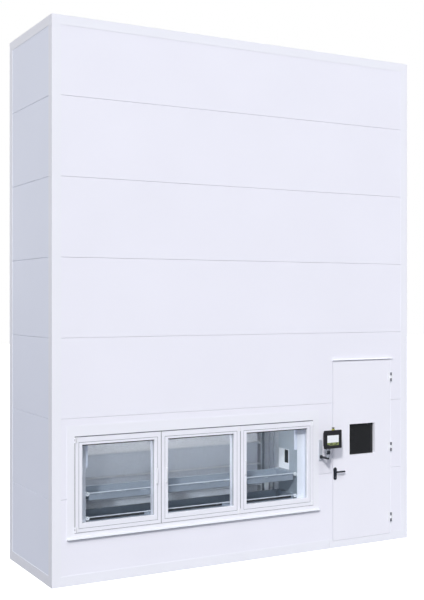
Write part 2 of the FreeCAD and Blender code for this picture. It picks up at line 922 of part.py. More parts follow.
def make_window_frame():
    """Fixed frame behind the sashes: sill, head, two jambs and a mullion at each joint."""
    x, z = (bay_left, bay_right), (size.bay_bottom, bay_top)
    y = (frame_front, frame_back)
    bar = size.frame_bar
    parts = [
        box("frame_sill_bar", x, y, (z[0], z[0] + size.frame_sill)),
        box("frame_head_bar", x, y, (z[1] - bar, z[1])),
    ]
    upright = (z[0] + size.frame_sill, z[1] - bar)
    parts.append(box("frame_jamb_left", (x[0], x[0] + bar), y, upright))
    parts.append(box("frame_jamb_right", (x[1] - bar, x[1]), y, upright))
    for index in range(1, SASH_COUNT):
        centre = bay_left + sash_pitch * index
        limits = (centre - size.mullion / 2, centre + size.mullion / 2)
        parts.append(box(f"frame_mullion_{index}", limits, y, upright))
    node(group("window_frame", parts))


def make_lining():
    """White sheets of the bay: jamb faces, side walls, floor and ceiling."""
    z = (bay_floor_z, bay_ceiling_z)
    parts = []
    for name, side in SIDES.items():
        wall = box(f"bay_wall_{name}", span(side, 0, size.rack_sheet), (frame_back, -shaft_half), z)
        jamb_far = size.jamb_width - size.frame_bar
        face_y = (frame_back, frame_back + size.lining)
        face = box(f"bay_jamb_{name}", span(side, size.rack_sheet, jamb_far), face_y, (z[0], bay_top))
        parts += [wall, face]
    x = (middle - wall_distance, middle + wall_distance)
    y = (frame_back, -shaft_half)
    parts.append(box("bay_floor", x, y, (z[0], z[0] + size.lining)))
    parts.append(box("bay_ceiling", x, y, (z[1] - size.lining, z[1])))
    node(group("bay_lining", parts))

    bars = []
    for name, side in SIDES.items():
        x = span(side, -size.curtain_side, 0)
        y = (frame_back + size.lining, frame_back + size.lining + size.curtain_side)
        bars.append(box(f"curtain_{name}", x, y, (size.curtain_bottom, z[1] - size.lining)))
    node(group("light_curtains", bars))

    plate_y = (skin_front + size.sensor_plate_start, -shaft_half - size.sensor_plate_end)
    plate_z = (size.sensor_plate_bottom, size.sensor_plate_bottom + size.sensor_plate_height)
    plate = box("sensor_plate_blank", span(1, -size.rack_sheet, 0), plate_y, plate_z)
    window_low = plate_z[0] + size.sensor_window_bottom
    window_start = plate_y[0] + size.sensor_window_start
    window = box(
        "sensor_plate_window",
        span(1, -size.rack_sheet * 2, size.rack_sheet),
        (window_start, window_start + size.sensor_window_width),
        (window_low, window_low + size.sensor_window_height),
    )
    node(cut("bay_sensor_plate", plate, window))


# Hinges


def knuckle_hinge(name, axis_x, axis_y, z, radius, pin, fixed_leaf, moving_leaf, moving_tab, fixed_tab):
    """A three-knuckle hinge: a fixed half with its pin and a moving half bored for it."""
    low, high = z
    third = (high - low) / 3
    gap = size.running_gap / 2
    centre = {"x": axis_x, "y": axis_y}
    stations = ((low, low + third - gap), (high - third + gap, high))
    fixed = [cylinder(f"{name}_pin", "z", pin, low, high, centre), fixed_leaf(f"{name}_fixed_leaf", z)]
    for index, station in enumerate(stations):
        fixed.append(cylinder(f"{name}_fixed_knuckle_{index}", "z", radius, *station, centre))
        fixed.append(fixed_tab(f"{name}_fixed_tab_{index}", station))
    inner = (low + third + gap, high - third - gap)
    moving = fuse(
        f"{name}_moving_blank",
        moving_leaf(f"{name}_moving_leaf", z),
        cylinder(f"{name}_moving_knuckle", "z", radius, *inner, centre),
        moving_tab(f"{name}_moving_tab", inner),
    )
    bore = cylinder(
        f"{name}_bore", "z", pin + size.pin_clearance, inner[0] - OVERRUN, inner[1] + OVERRUN, centre
    )
    return fuse(f"{name}_fixed", *fixed), cut(f"{name}_moving", moving, bore)


def sash_hinge(name, edge_x, side, z):
    """Hinge in the joint beside a sash; side is +1 where the sash lies to the right."""
    radius = size.sash_knuckle
    axis_x = edge_x + (radius + 0.5) * side
    axis_y = sash_front - radius - 1
    plate_y = (sash_front - size.hinge_leaf, sash_front)

    def beside(base, near, far):
        return (base + near, base + far) if side > 0 else (base - far, base - near)

    def fixed_leaf(label, span_z):
        return box(label, beside(edge_x, 0, size.hinge_leaf), (sash_front + 2, frame_front), span_z)

    def fixed_tab(label, span_z):
        return box(label, beside(edge_x, 0, size.hinge_leaf), (axis_y, sash_front + 2), span_z)

    def moving_leaf(label, span_z):
        return box(label, beside(axis_x, radius + 2, radius + size.sash_leaf_reach), plate_y, span_z)

    def moving_tab(label, span_z):
        return box(label, beside(axis_x, 0, radius + 2), plate_y, span_z)

    return knuckle_hinge(
        name, axis_x, axis_y, z, radius, size.sash_pin, fixed_leaf, moving_leaf, moving_tab, fixed_tab
    )


def door_hinge(name, z):
    """Surface hinge of the service door; the leaf lies to the left."""
    radius = size.door_knuckle
    axis_x = door_right + size.door_gap / 2
    axis_y = skin_front - radius - 2
    plate_y = (skin_front - 3, skin_front)

    def fixed_leaf(label, span_z):
        return box(label, (axis_x + radius + 1, axis_x + size.door_leaf_reach), plate_y, span_z)

    def fixed_tab(label, span_z):
        return box(label, (axis_x, axis_x + radius + 1), (axis_y, skin_front), span_z)

    def moving_leaf(label, span_z):
        return box(label, (axis_x - size.door_leaf_reach, axis_x - radius - 1), plate_y, span_z)

    def moving_tab(label, span_z):
        return box(label, (axis_x - radius - 1, axis_x), plate_y, span_z)

    return knuckle_hinge(
        name, axis_x, axis_y, z, radius, size.door_pin, fixed_leaf, moving_leaf, moving_tab, fixed_tab
    )


# Sashes


def make_sash(number):
    """One glazed sash with its double pane, pull handle and hinges."""
    gap = size.sash_gap / 2
    field = (bay_left + sash_pitch * (number - 1), bay_left + sash_pitch * number)
    x = grow(field, -gap)
    z = grow((size.bay_bottom, bay_top), -gap)
    hinge_left = number == 1
    name = f"sash_{number}"
    blank = box(f"{name}_blank", x, (sash_front, sash_back), z)
    opening_x, opening_z = grow(x, -size.sash_stile), grow(z, -size.sash_rail)
    bead_y = sash_front + size.bead_depth
    taper = doc.addObject("Part::Wedge", f"{name}_taper")
    band_x = grow(x, -size.sash_band)
    band_z = (z[0] + size.sash_band, z[1] - size.sash_head_band)
    bindings = {
        "Xmin": band_x[0], "Xmax": band_x[1], "Zmin": band_z[0], "Zmax": band_z[1],
        "X2min": opening_x[0], "X2max": opening_x[1], "Z2min": opening_z[0], "Z2max": opening_z[1],
        "Ymin": sash_front, "Ymax": bead_y,
    }
    for prop, value in bindings.items():
        taper.setExpression(prop, value.text)
    through = box(f"{name}_opening", opening_x, grow((sash_front, sash_back), OVERRUN), opening_z)
    seat = bead_y + size.bead_land
    glass_x, glass_z = grow(opening_x, size.rebate), grow(opening_z, size.rebate)
    rebate = box(f"{name}_rebate", glass_x, (seat, sash_back + OVERRUN), glass_z)
    profile = cut(f"{name}_profile", blank, taper, through, rebate)
    pane_x, pane_z = grow(glass_x, -0.5), grow(glass_z, -0.5)
    inner_pane = seat + size.pane + size.pane_space
    spacer = ring(f"{name}_spacer", "XZ", pane_x, pane_z, size.rebate - 1, seat + size.pane, inner_pane)
    clip = ring(f"{name}_bead", "XZ", pane_x, pane_z, size.rebate, inner_pane + size.pane, sash_back)
    panes = [
        box(f"{name}_pane_outer", pane_x, (seat, seat + size.pane), pane_z),
        box(f"{name}_pane_inner", pane_x, (inner_pane, inner_pane + size.pane), pane_z),
    ]
    node(group(f"{name}_glass", panes))

    free_edge = x[1] if hinge_left else x[0]
    toward = -1 if hinge_left else 1
    centre = free_edge + size.pull_edge * toward
    low, high = size.bay_bottom + size.pull_bottom, size.bay_bottom + size.pull_bottom + size.pull_height
    face, bar, corner = sash_front - size.pull_proud, size.pull_bar, 9
    pads = [
        box(
            f"{name}_pad_{end}",
            (centre - bar / 2 - 3, centre + bar / 2 + 3),
            (sash_front, bead_y),
            (height - bar / 2 - 5, height + bar / 2 + 5),
        )
        for end, height in (("low", low + bar / 2), ("high", high - bar / 2))
    ]
    frame = fuse(f"{name}_sash", profile, *pads)
    node(group(f"{name}_frame", [frame, spacer, clip]))
    outline = [
        (sash_front, low),
        (face + corner, low),
        (face, low + corner),
        (face, high - corner),
        (face + corner, high),
        (sash_front, high),
        (sash_front, high - bar),
        (face + bar + 3, high - bar),
        (face + bar, high - bar - 3),
        (face + bar, low + bar + 3),
        (face + bar + 3, low + bar),
        (sash_front, low + bar),
    ]
    pull = extrusion(f"{name}_pull", "YZ", [outline], centre - bar / 2, centre + bar / 2)

    edge_x = field[0] if hinge_left else field[1]
    side = 1 if hinge_left else -1
    hardware, fixed = [pull], []
    for station, middle_z in (("low", z[0] + size.sash_hinge_inset), ("high", z[1] - size.sash_hinge_inset)):
        half = size.sash_hinge_height / 2
        still, moving = sash_hinge(
            f"{name}_hinge_{station}", edge_x, side, (middle_z - half, middle_z + half)
        )
        hardware.append(moving)
        fixed.append(still)
    node(group(f"{name}_hardware", hardware))
    return fixed


def make_sashes():
    """All sashes, with the fixed halves of their hinges in one node."""
    fixed = []
    for number in range(1, SASH_COUNT + 1):
        fixed += make_sash(number)
    node(group("sash_hinge_leaves", fixed))


# Service door

leaf_back = inner_front - size.door_inset


def door_bolt_y():
    """Limits of the locking bolt across the leaf's thickness."""
    centre = (skin_front + leaf_back) / 2
    return centre - size.bolt_width / 2, centre + size.bolt_width / 2


def make_door():
    """Leaf, pane, seal, hinges, plates, levers and locking bolt."""
    x, z = (door_left, door_right), (size.door_bottom, door_top)
    pane_x = (door_right - size.vision_edge - size.vision_width, door_right - size.vision_edge)
    pane_z = (size.vision_bottom, size.vision_bottom + size.vision_height)
    hole = {"x": pane_x, "z": pane_z}
    liner_y = (leaf_back - size.sheet, leaf_back)
    shell = cassette("leaf_shell", x, (skin_front, liner_y[0]), z, ("y", 1), [hole])
    pane_y = (skin_front + size.vision_recess, skin_front + size.vision_recess + size.vision_pane)
    wide_x, wide_z = grow(pane_x, size.rebate), grow(pane_z, size.rebate)
    liner = extrusion("leaf_liner", "XZ", [rectangle(x, z), rectangle(wide_x, wide_z)], *liner_y)
    seat = ring("vision_seat", "XZ", wide_x, wide_z, size.rebate, pane_y[0] - 3, pane_y[0])
    seat_room = box("vision_seat_room", wide_x, (pane_y[0] - 3, liner_y[1]), wide_z)
    seat_cut = cut("leaf_shell_seated", shell, seat_room)
    fitted_x, fitted_z = grow(wide_x, -0.3), grow(wide_z, -0.3)
    clip = ring("vision_bead", "XZ", fitted_x, fitted_z, size.rebate, pane_y[1], leaf_back)
    lock = box(
        "lock_case",
        (door_left + size.sheet, door_left + 70),
        grow(door_bolt_y(), 5),
        (size.lever_height - 80, size.lever_height + 40),
    )
    bolt_z = (size.lever_height - size.bolt_height / 2, size.lever_height + size.bolt_height / 2)
    gap = size.running_gap
    bolt_room = box(
        "bolt_room",
        (door_left - OVERRUN, door_left + 45),
        grow(door_bolt_y(), gap),
        grow(bolt_z, gap),
    )
    spindle_x = door_left + size.lever_backset
    spindle_at = {"x": spindle_x, "z": size.lever_height}
    bore = size.spindle_radius + gap
    through_y = grow((skin_front, leaf_back), OVERRUN)
    spindle_room = cylinder("spindle_room", "y", bore, *through_y, spindle_at)
    rooms = group("leaf_rooms", [bolt_room, spindle_room])
    parts = [
        cut("leaf_outer", seat_cut, rooms),
        cut("leaf_inner", liner, spindle_room),
        cut("lock_box", lock, rooms),
        seat,
        clip,
    ]
    node(group("door_leaf", parts))
    node(box("door_pane", fitted_x, pane_y, fitted_z))
    seal_y = (leaf_back, inner_front - size.running_gap)
    seal = ring("door_seal", "XZ", grow(x, -1), grow(z, -1), size.seal_width, *seal_y)
    node(seal)

    moving, fixed = [], []
    for index, share in enumerate(DOOR_HINGES, 1):
        centre = size.door_bottom + size.door_height * share
        half = size.door_hinge_height / 2
        still, swinging = door_hinge(f"door_hinge_{index}", (centre - half, centre + half))
        fixed.append(still)
        moving.append(swinging)
    node(group("door_hinge_leaves", moving))
    node(group("door_hinge_posts", fixed))

    plate_z = (
        size.lever_height - size.back_plate_drop,
        size.lever_height - size.back_plate_drop + size.back_plate_height,
    )
    plates = []
    faces = {
        "outer": (skin_front - size.back_plate_thickness, skin_front, size.back_plate_width / 2),
        "inner": (leaf_back, leaf_back + size.back_plate_thickness, size.inner_plate_width / 2),
    }
    for name, (near, far, half) in faces.items():
        y = (near, far)
        straight = box(
            f"plate_{name}_straight", (spindle_x - half, spindle_x + half), y, grow(plate_z, -half)
        )
        caps = [
            cylinder(f"plate_{name}_{end}", "y", half, *y, {"x": spindle_x, "z": height})
            for end, height in (("low", plate_z[0] + half), ("high", plate_z[1] - half))
        ]
        blank = fuse(f"plate_{name}_blank", straight, *caps)
        hole = cylinder(f"plate_{name}_bore", "y", bore, *grow(y, OVERRUN), spindle_at)
        plates.append(cut(f"back_plate_{name}", blank, hole))
    node(group("door_back_plates", plates))

    outer_y = skin_front - size.lever_stand
    inner_y = leaf_back + size.lever_stand
    radius = size.lever_radius
    grip_x = (spindle_x, spindle_x + size.lever_length)
    neck_outer = (outer_y - radius, skin_front - size.back_plate_thickness - gap)
    neck_inner = (leaf_back + size.back_plate_thickness + gap, inner_y + radius)
    lever = [
        cylinder("spindle", "y", size.spindle_radius, outer_y, inner_y, spindle_at),
        cylinder("neck_outer", "y", radius + 2, *neck_outer, spindle_at),
        cylinder("neck_inner", "y", radius + 2, *neck_inner, spindle_at),
        cylinder("grip_outer", "x", radius, *grip_x, {"y": outer_y, "z": size.lever_height}),
        cylinder("grip_inner", "x", radius, *grip_x, {"y": inner_y, "z": size.lever_height}),
    ]
    node(fuse("door_lever", *lever))
    node(box("locking_bolt", (door_left - 1, spindle_x - 9), door_bolt_y(), bolt_z))

    frame_y = (inner_front, beam_front)
    lap, bar = size.jamb_lap, size.jamb_bar
    jambs = {
        "door_jamb_left": (door_left + lap - bar, door_left + lap),
        "door_jamb_right": (door_right - lap, door_right - lap + bar),
    }
    jamb_z = (size.base_height, door_top - lap)
    frame = [tube(name, "z", limits, frame_y, jamb_z) for name, limits in jambs.items()]
    head_x = (door_left + lap - bar, door_right - lap + bar)
    frame.append(tube("door_head", "x", head_x, frame_y, (door_top - lap, door_top - lap + bar)))
    threshold_x = (door_left + lap, door_right - lap)
    tread_z = (size.base_height, size.door_bottom - 4)
    tread = box("threshold_tread", threshold_x, (skin_front, inner_front), tread_z)
    stop = box("threshold_stop", threshold_x, frame_y, (size.base_height, size.door_bottom + lap))
    frame.append(fuse("door_threshold", tread, stop))
    node(group("door_frame", frame))


# Operator console

console_right = door_left - size.console_door_gap
console_left = console_right - size.console_width
console_front = front - size.console_reach
console_back = console_front + size.console_depth
console_top = size.console_bottom + size.console_height
arm_x = console_left + size.arm_inset
tilt_y = (console_front + console_back) / 2
tilt_z = size.console_bottom - size.tilt_drop


def make_console():
    """Wall bracket, arm, swivelling knuckle and the tilting housing with all that it carries."""
    gap = size.running_gap
    half = size.bracket_width / 2
    low = size.arm_height - 45
    channel_front = front - size.bracket_depth
    bracket_x = (arm_x - half, arm_x + half)
    bracket_z = (low, low + size.bracket_height)
    plate = box("bracket_plate", bracket_x, (skin_front - 5, skin_front), grow(bracket_z, 12))
    channel = box("bracket_channel", bracket_x, (channel_front, skin_front - 5), bracket_z)
    node(fuse("console_bracket", plate, channel))

    half = size.arm_bar / 2
    arm_y = (tilt_y - half, channel_front)
    arm_z = (size.arm_height - half, size.arm_height + half)
    post_at = {"x": arm_x, "y": tilt_y}
    post_top = tilt_z - size.knuckle_radius - 5
    bar = box("arm_bar_block", (arm_x - half, arm_x + half), arm_y, arm_z)
    foot = box("arm_foot", grow(bracket_x, -4), (channel_front - 6, channel_front), grow(arm_z, 10))
    post = cylinder("arm_post", "z", size.console_pin, arm_z[0], post_top, post_at)
    node(fuse("console_arm", bar, foot, post))

    barrel = cylinder("swivel_barrel", "z", size.knuckle_radius - 4, arm_z[1] + gap, tilt_z, post_at)
    knuckle_x = (arm_x - size.knuckle_width / 2, arm_x + size.knuckle_width / 2)
    tilt_at = {"y": tilt_y, "z": tilt_z}
    knuckle = cylinder("swivel_knuckle", "x", size.knuckle_radius, *knuckle_x, tilt_at)
    bore = size.console_pin + size.pin_clearance
    post_room = cylinder("swivel_post_room", "z", bore, arm_z[1] - OVERRUN, post_top + gap, post_at)
    tilt_room = cylinder("swivel_tilt_room", "x", bore, *grow(knuckle_x, OVERRUN), tilt_at)
    node(cut("console_swivel", fuse("swivel_blank", barrel, knuckle), post_room, tilt_room))

    x, z = (console_left, console_right), (size.console_bottom, console_top)
    wall, step = size.console_wall, size.console_step
    bezel_back = console_front + size.console_bezel
    shell = fuse(
        "housing_shell",
        box("housing_bezel", x, (console_front, bezel_back), z),
        box("housing_body", grow(x, -step), (bezel_back, console_back), grow(z, -step)),
    )
    hollow_y = (console_front + wall, console_back - wall)
    hollow = box("housing_hollow", grow(x, -step - wall), hollow_y, grow(z, -step - wall))
    centre_x = (console_left + console_right) / 2 + size.screen_offset
    screen_x = (centre_x - size.screen_width / 2, centre_x + size.screen_width / 2)
    screen_low = size.console_bottom + size.screen_rise
    screen_z = (screen_low, screen_low + size.screen_height)
    window = box("housing_window", screen_x, (console_front - OVERRUN, console_front + wall + 1), screen_z)
    cheeks = []
    for name, side in SIDES.items():
        near, far = size.knuckle_width / 2 + gap, size.knuckle_width / 2 + size.ear_thickness
        limits = sorted_limits(arm_x + side * far, arm_x + side * near, side)
        ear_y = grow((tilt_y, tilt_y), size.ear_radius)
        cheeks.append(box(f"tilt_ear_{name}", limits, ear_y, (tilt_z, size.console_bottom + step)))
        cheeks.append(cylinder(f"tilt_eye_{name}", "x", size.ear_radius, *limits, tilt_at))
    tilt_pin = cylinder("tilt_pin", "x", size.console_pin, *grow(knuckle_x, 12), tilt_at)
    button_at = {"x": centre_x + size.button_offset, "y": (bezel_back + console_back) / 2}
    body_top = console_top - step
    stem_bore = size.button_stem + gap
    button_room = cylinder("button_room", "z", stem_bore, body_top - 30, body_top + OVERRUN, button_at)
    housing = cut("housing_open", shell, hollow, window, button_room)
    node(fuse("console_housing", housing, tilt_pin, *cheeks))
    screen_y = (console_front + 1, console_front + 1 + wall)
    plate_x, plate_z = grow(screen_x, -0.3), grow(screen_z, -0.3)
    screen = box("screen_plate", plate_x, screen_y, plate_z)
    lip_y = (console_front + wall, console_front + wall + 4)
    lip = ring("screen_frame", "XZ", grow(screen_x, 8), grow(screen_z, 8), 9, *lip_y)
    seat = cut("screen_seat", lip, box("screen_gap", plate_x, screen_y, plate_z))
    node(group("console_screen", [screen, seat]))
    collar_z = (body_top, console_top + 12)
    collar = cylinder("collar_blank", "z", size.collar_radius, *collar_z, button_at)
    collar_bore = cylinder("collar_bore", "z", stem_bore, *grow(collar_z, OVERRUN), button_at)
    node(cut("stop_collar", collar, collar_bore))
    head_z = collar_z[1] + size.button_travel
    stem = cylinder("button_stem", "z", size.button_stem, body_top - 20, head_z, button_at)
    head = cylinder("button_head", "z", size.button_head, head_z, head_z + 14, button_at)
    node(fuse("stop_button", stem, head))


# Lift


def pulley(name, side, height, bore_radius):
    """A flanged belt pulley on the belt's line."""
    near, far = size.belt_offset_near, size.belt_offset_far
    centre = {"y": 0, "z": height}
    tread = cylinder(f"{name}_tread", "x", size.pulley_radius, *span(side, near, far), centre)
    flange = 2
    plates = []
    rim = size.pulley_radius + size.flange_rim
    for end, (low, high) in (("in", (near - flange, near)), ("out", (far, far + flange))):
        plates.append(cylinder(f"{name}_flange_{end}", "x", rim, *span(side, low, high), centre))
    wheel = fuse(f"{name}_wheel", tread, *plates)
    if bore_radius is None:
        return wheel
    bore = cylinder(f"{name}_bore", "x", bore_radius, *span(side, near - 10, far + 10), centre)
    return cut(name, wheel, bore)


size.belt_offset_near = size.rack_sheet + 12
size.belt_offset_far = size.belt_offset_near + size.belt_width


def make_drive():
    """Top shaft with its pulleys, idlers below, bearings, belts and geared motor."""
    centre_top = {"y": 0, "z": drive_height}
    centre_low = {"y": 0, "z": size.idler_height}
    gearbox_x = span(1, size.gearbox_offset, size.gearbox_offset + size.gearbox_length)
    shaft_start = span(-1, 78, 78)[0]
    shaft = cylinder("shaft_rod", "x", size.shaft_radius, shaft_start, gearbox_x[1] - 10, centre_top)
    wheels = [
        pulley(f"drive_pulley_{name}", side, drive_height, size.shaft_radius)
        for name, side in SIDES.items()
    ]
    node(group("drive_shaft", [shaft] + wheels))

    idlers, bearings, belts = [], [], []
    gap = size.running_gap
    for name, side in SIDES.items():
        wheel = pulley(f"idler_{name}", side, size.idler_height, None)
        axle = cylinder(f"idler_axle_{name}", "x", size.axle_radius, *span(side, 20, 74), centre_low)
        idlers.append(fuse(f"idler_pulley_{name}", wheel, axle))
        block_x = span(side, size.bearing_offset, size.bearing_offset + size.bearing_width)
        for level, radius, centre, z in (
            ("top", size.shaft_radius, centre_top, (drive_height - size.bearing_side, ring_top)),
            ("low", size.axle_radius, centre_low, (size.base_height, size.idler_height + 35)),
        ):
            block_y = (-size.bearing_side, size.bearing_side)
            block = box(f"bearing_{level}_{name}_block", block_x, block_y, z)
            loose = radius + size.pin_clearance
            bore = cylinder(f"bearing_{level}_{name}_bore", "x", loose, *grow(block_x, OVERRUN), centre)
            bearings.append(cut(f"bearing_{level}_{name}", block, bore))
        inner = size.pulley_radius + gap
        outer = inner + size.belt_thickness
        belt_x = span(side, size.belt_offset_near + 0.5, size.belt_offset_far - 0.5)
        solids = {}
        for layer, radius, limits in (("outer", outer, belt_x), ("inner", inner, grow(belt_x, OVERRUN))):
            solids[layer] = fuse(
                f"belt_{name}_{layer}",
                box(f"belt_{name}_{layer}_run", limits, (-radius, radius), (size.idler_height, drive_height)),
                cylinder(f"belt_{name}_{layer}_low", "x", radius, *limits, centre_low),
                cylinder(f"belt_{name}_{layer}_top", "x", radius, *limits, centre_top),
            )
        belts.append(cut(f"lift_belt_{name}", solids["outer"], solids["inner"]))
    node(group("idler_pulleys", idlers))
    node(group("shaft_bearings", bearings))
    node(group("lift_belts", belts))

    half = size.gearbox_side
    box_z = (drive_height - 52, ring_top)
    case = box("gearbox_case", gearbox_x, (-half, half), box_z)
    bore = cylinder(
        "gearbox_bore",
        "x",
        size.shaft_radius + size.pin_clearance,
        gearbox_x[0] - OVERRUN,
        gearbox_x[1] - 5,
        centre_top,
    )
    motor_at = {"x": (gearbox_x[0] + gearbox_x[1]) / 2, "y": 0}
    motor = cylinder("motor_can", "z", size.motor_radius, box_z[0] - size.motor_length, box_z[0], motor_at)
    terminal = box(
        "motor_terminals",
        (motor_at["x"] - 40, motor_at["x"] + 40),
        (-size.motor_radius - 35, -size.motor_radius + 8),
        (box_z[0] - 160, box_z[0] - 60),
    )
    node(group("gearmotor", [cut("gearbox", case, bore), fuse("motor", motor, terminal)]))


def make_carriage():
    """Lift carriage between the columns, its shoes, belt clamps, rails and tray puller."""
    gap = size.running_gap
    low = size.carriage_bottom
    high = low + size.cheek_height
    half = shaft_half - size.rail_depth - 8
    face = size.tray_end_clearance - 3
    beam_z = (low, low + size.carriage_beam)
    guide_z = (low + 95, low + 115)
    parts = []
    for name, side in SIDES.items():
        cheek_x = span(side, -face, -face + size.cheek_thickness)
        parts.append(box(f"cheek_{name}", cheek_x, (-half, half), (low, high)))
        ledge = box(
            f"carriage_ledge_{name}",
            span(side, -size.ledge_width, -face),
            (-half, half),
            (size.carriage_ledge - gap - 4, size.carriage_ledge - gap),
        )
        guide = box(f"puller_guide_{name}", span(side, -face - 10, -face), (-half, half), guide_z)
        parts += [ledge, guide]
    inside = (span(-1, -face, -face)[0], span(1, -face, -face)[0])
    for name, sign in (("front", -1), ("back", 1)):
        y = sorted_limits(sign * half, sign * (half - 40), sign)
        parts.append(tube(f"carriage_beam_{name}", "x", inside, y, beam_z))
    frame = fuse("carriage_weldment", *parts)
    clamps, shoes, rails = [], [], []
    inner = size.pulley_radius
    clamp_z = (low + size.clamp_rise, low + size.clamp_rise + size.clamp_height)
    for name, side in SIDES.items():
        outside = size.cheek_thickness - face
        block = box(
            f"clamp_{name}_block",
            span(side, outside, size.belt_offset_far + 6),
            (-inner - size.belt_thickness - 20, -inner + 14),
            clamp_z,
        )
        belt_room = box(
            f"clamp_{name}_room",
            grow(span(side, size.belt_offset_near + 0.5, size.belt_offset_far - 0.5), gap),
            (-inner - size.belt_thickness - gap * 2, -inner),
            grow(clamp_z, OVERRUN),
        )
        clamps.append(cut(f"belt_clamp_{name}", block, belt_room))
        for end, sign in (("front", -1), ("back", 1)):
            rail_y = sorted_limits(shaft_half * sign, (shaft_half - size.rail_depth) * sign, sign)
            rail_x = span(side, size.rack_sheet + 10, size.rack_sheet + 40)
            rails.append(box(f"guide_rail_{name}_{end}", rail_x, rail_y, (size.base_height, ring_top)))
            rail_face = shaft_half - size.rail_depth
            shoe_y = sorted_limits((rail_face - gap) * sign, (rail_face - size.shoe_depth) * sign, sign)
            low_shoe = (low + 20, low + 20 + size.shoe_height)
            high_shoe = (high - 20 - size.shoe_height, high - 20)
            for station, z in (("low", low_shoe), ("high", high_shoe)):
                shoe_x = span(side, outside, size.rack_sheet + 42)
                shoes.append(box(f"shoe_{name}_{end}_{station}", shoe_x, shoe_y, z))
    node(group("carriage_frame", [frame] + clamps))
    node(group("guide_shoes", shoes))
    node(group("guide_rails", rails))

    bar_z = (low + 88, low + 122)
    slide_half = size.puller_slide / 2
    finger_top = size.carriage_ledge - 12
    hook_near, hook_far = -size.tray_hook - size.tray_end_clearance + 2.5, -size.ledge_width - 2.5
    hook_middle = -size.tray_hook - size.tray_end_clearance + size.grip_inset
    parts = []
    for name, side in SIDES.items():
        block_y = (-slide_half, slide_half)
        block = box(f"puller_block_{name}", span(side, -face - 50, -face - gap), block_y, grow(bar_z, 6))
        room_x = span(side, -face - 10 - gap, -face + OVERRUN)
        room = box(f"puller_room_{name}", room_x, grow(block_y, OVERRUN), grow(guide_z, gap))
        hook_x = span(side, hook_near, hook_far)
        post = box(f"puller_post_{name}", hook_x, (-15, 15), (bar_z[1], finger_top))
        finger_y = (-size.puller_peg_reach - 7, size.puller_peg_reach + 7)
        finger = box(f"puller_finger_{name}", hook_x, finger_y, (finger_top - 12, finger_top))
        parts += [cut(f"puller_slide_{name}", block, room), post, finger]
        for end, sign in (("front", -1), ("back", 1)):
            at = {"x": span(side, hook_middle, hook_middle)[0], "y": size.puller_peg_reach * sign}
            peg_z = (finger_top - 6, size.carriage_ledge + 6)
            parts.append(cylinder(f"puller_peg_{name}_{end}", "z", size.puller_peg, *peg_z, at))
    tie_x = (span(-1, -face - 48, -face - 48)[0], span(1, -face - 48, -face - 48)[0])
    node(fuse("tray_puller", box("puller_tie", tie_x, (-20, 20), bar_z), *parts))


# Service aisle


def gland_z():
    """Height of the cable gland, below the top edge."""
    return size.overall_height - size.gland_drop


def gland_x():
    """Place of the cable gland, over the service aisle."""
    return door_right - size.gland_inset


def make_aisle():
    """Partition, electrical cabinet with its door, and the cable gland."""
    y = (inner_front, inner_back)
    sheet_x = (partition_x, partition_x + size.lining)
    node(box("partition_panel", sheet_x, y, (size.base_height, ring_low)))

    x = (sheet_x[1], sheet_x[1] + size.cabinet_depth)
    y = (-size.cabinet_front, size.cabinet_width - size.cabinet_front)
    z = (size.cabinet_bottom, size.cabinet_bottom + size.cabinet_height)
    shell = cassette("cabinet_shell", x, y, z, ("x", 1))
    pin_at = {"x": x[1] + 11, "y": y[1] - 16}
    parts = [shell]
    gap = size.running_gap
    for name, face, sign in (("low", z[0], -1), ("high", z[1], 1)):
        plate_z = sorted_limits(face + 5 * sign, face, sign)
        plate = box(f"cabinet_ear_{name}", (x[1] - 14, x[1] + 20), (y[1] - 26, y[1] - 6), plate_z)
        pin_z = sorted_limits(face + 5 * sign, face - 20 * sign, sign)
        pin = cylinder(f"cabinet_pin_{name}", "z", size.cabinet_pin, *pin_z, pin_at)
        parts.append(fuse(f"cabinet_pivot_{name}", plate, pin))
    node(group("cabinet_box", parts))
    leaf_y = (y[0], y[1] - 8)
    leaf_z = grow(z, -gap)
    leaf_x = (x[1] + 4, x[1] + 4 + size.cabinet_leaf)
    leaf = box("cabinet_door_blank", leaf_x, leaf_y, leaf_z)
    room_x = (x[1], leaf_x[1] - size.sheet)
    room = box("cabinet_door_room", room_x, (leaf_y[0] + 2, leaf_y[1] - 26), grow(leaf_z, -25))
    loose = size.cabinet_pin + size.pin_clearance
    bore = cylinder("cabinet_door_bore", "z", loose, *grow(leaf_z, OVERRUN), pin_at)
    node(cut("cabinet_door", leaf, room, bore))

    at = {"x": gland_x(), "z": gland_z()}
    body = [
        cylinder("gland_flange", "y", size.gland_bore + 16, skin_back, skin_back + 5, at),
        cylinder("gland_nut", "y", size.gland_bore + 10, skin_back + 5, skin_back + 20, at),
        cylinder("gland_neck", "y", size.gland_bore + 3.5, skin_back - 20, skin_back, at),
    ]
    bore = cylinder("gland_hole", "y", size.gland_bore, skin_back - 30, skin_back + 30, at)
    node(cut("cable_gland", fuse("gland_blank", *body), bore))


make_base()
make_posts()
make_beams()
make_racks()
make_trays()
make_front_panels()
make_side_panels()
make_trims()
make_surround()
make_window_frame()
make_lining()
make_sashes()
make_door()
make_console()
make_drive()
make_carriage()
make_aisle()

doc.recompute()

faults = []
for thing in doc.Objects:
    if "Invalid" in thing.State or "Error" in thing.State:
        faults.append(f"{thing.Name} is {thing.State}")
for name, thing in nodes.items():
    if thing.Shape.isNull() or not thing.Shape.isValid() or not thing.Shape.Solids:
        faults.append(f"{name} has no sound shape")
if faults:
    raise SystemExit("\n".join(faults))

os.makedirs("parts", exist_ok=True)
for name, thing in nodes.items():
    thing.Shape.exportStep(f"parts/{name}.step")
solids = sum(len(thing.Shape.Solids) for thing in nodes.values())
print(f"{len(nodes)} nodes, {solids} solids")
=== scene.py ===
import json
import math

import bmesh
import bpy
from mathutils import Matrix, Vector


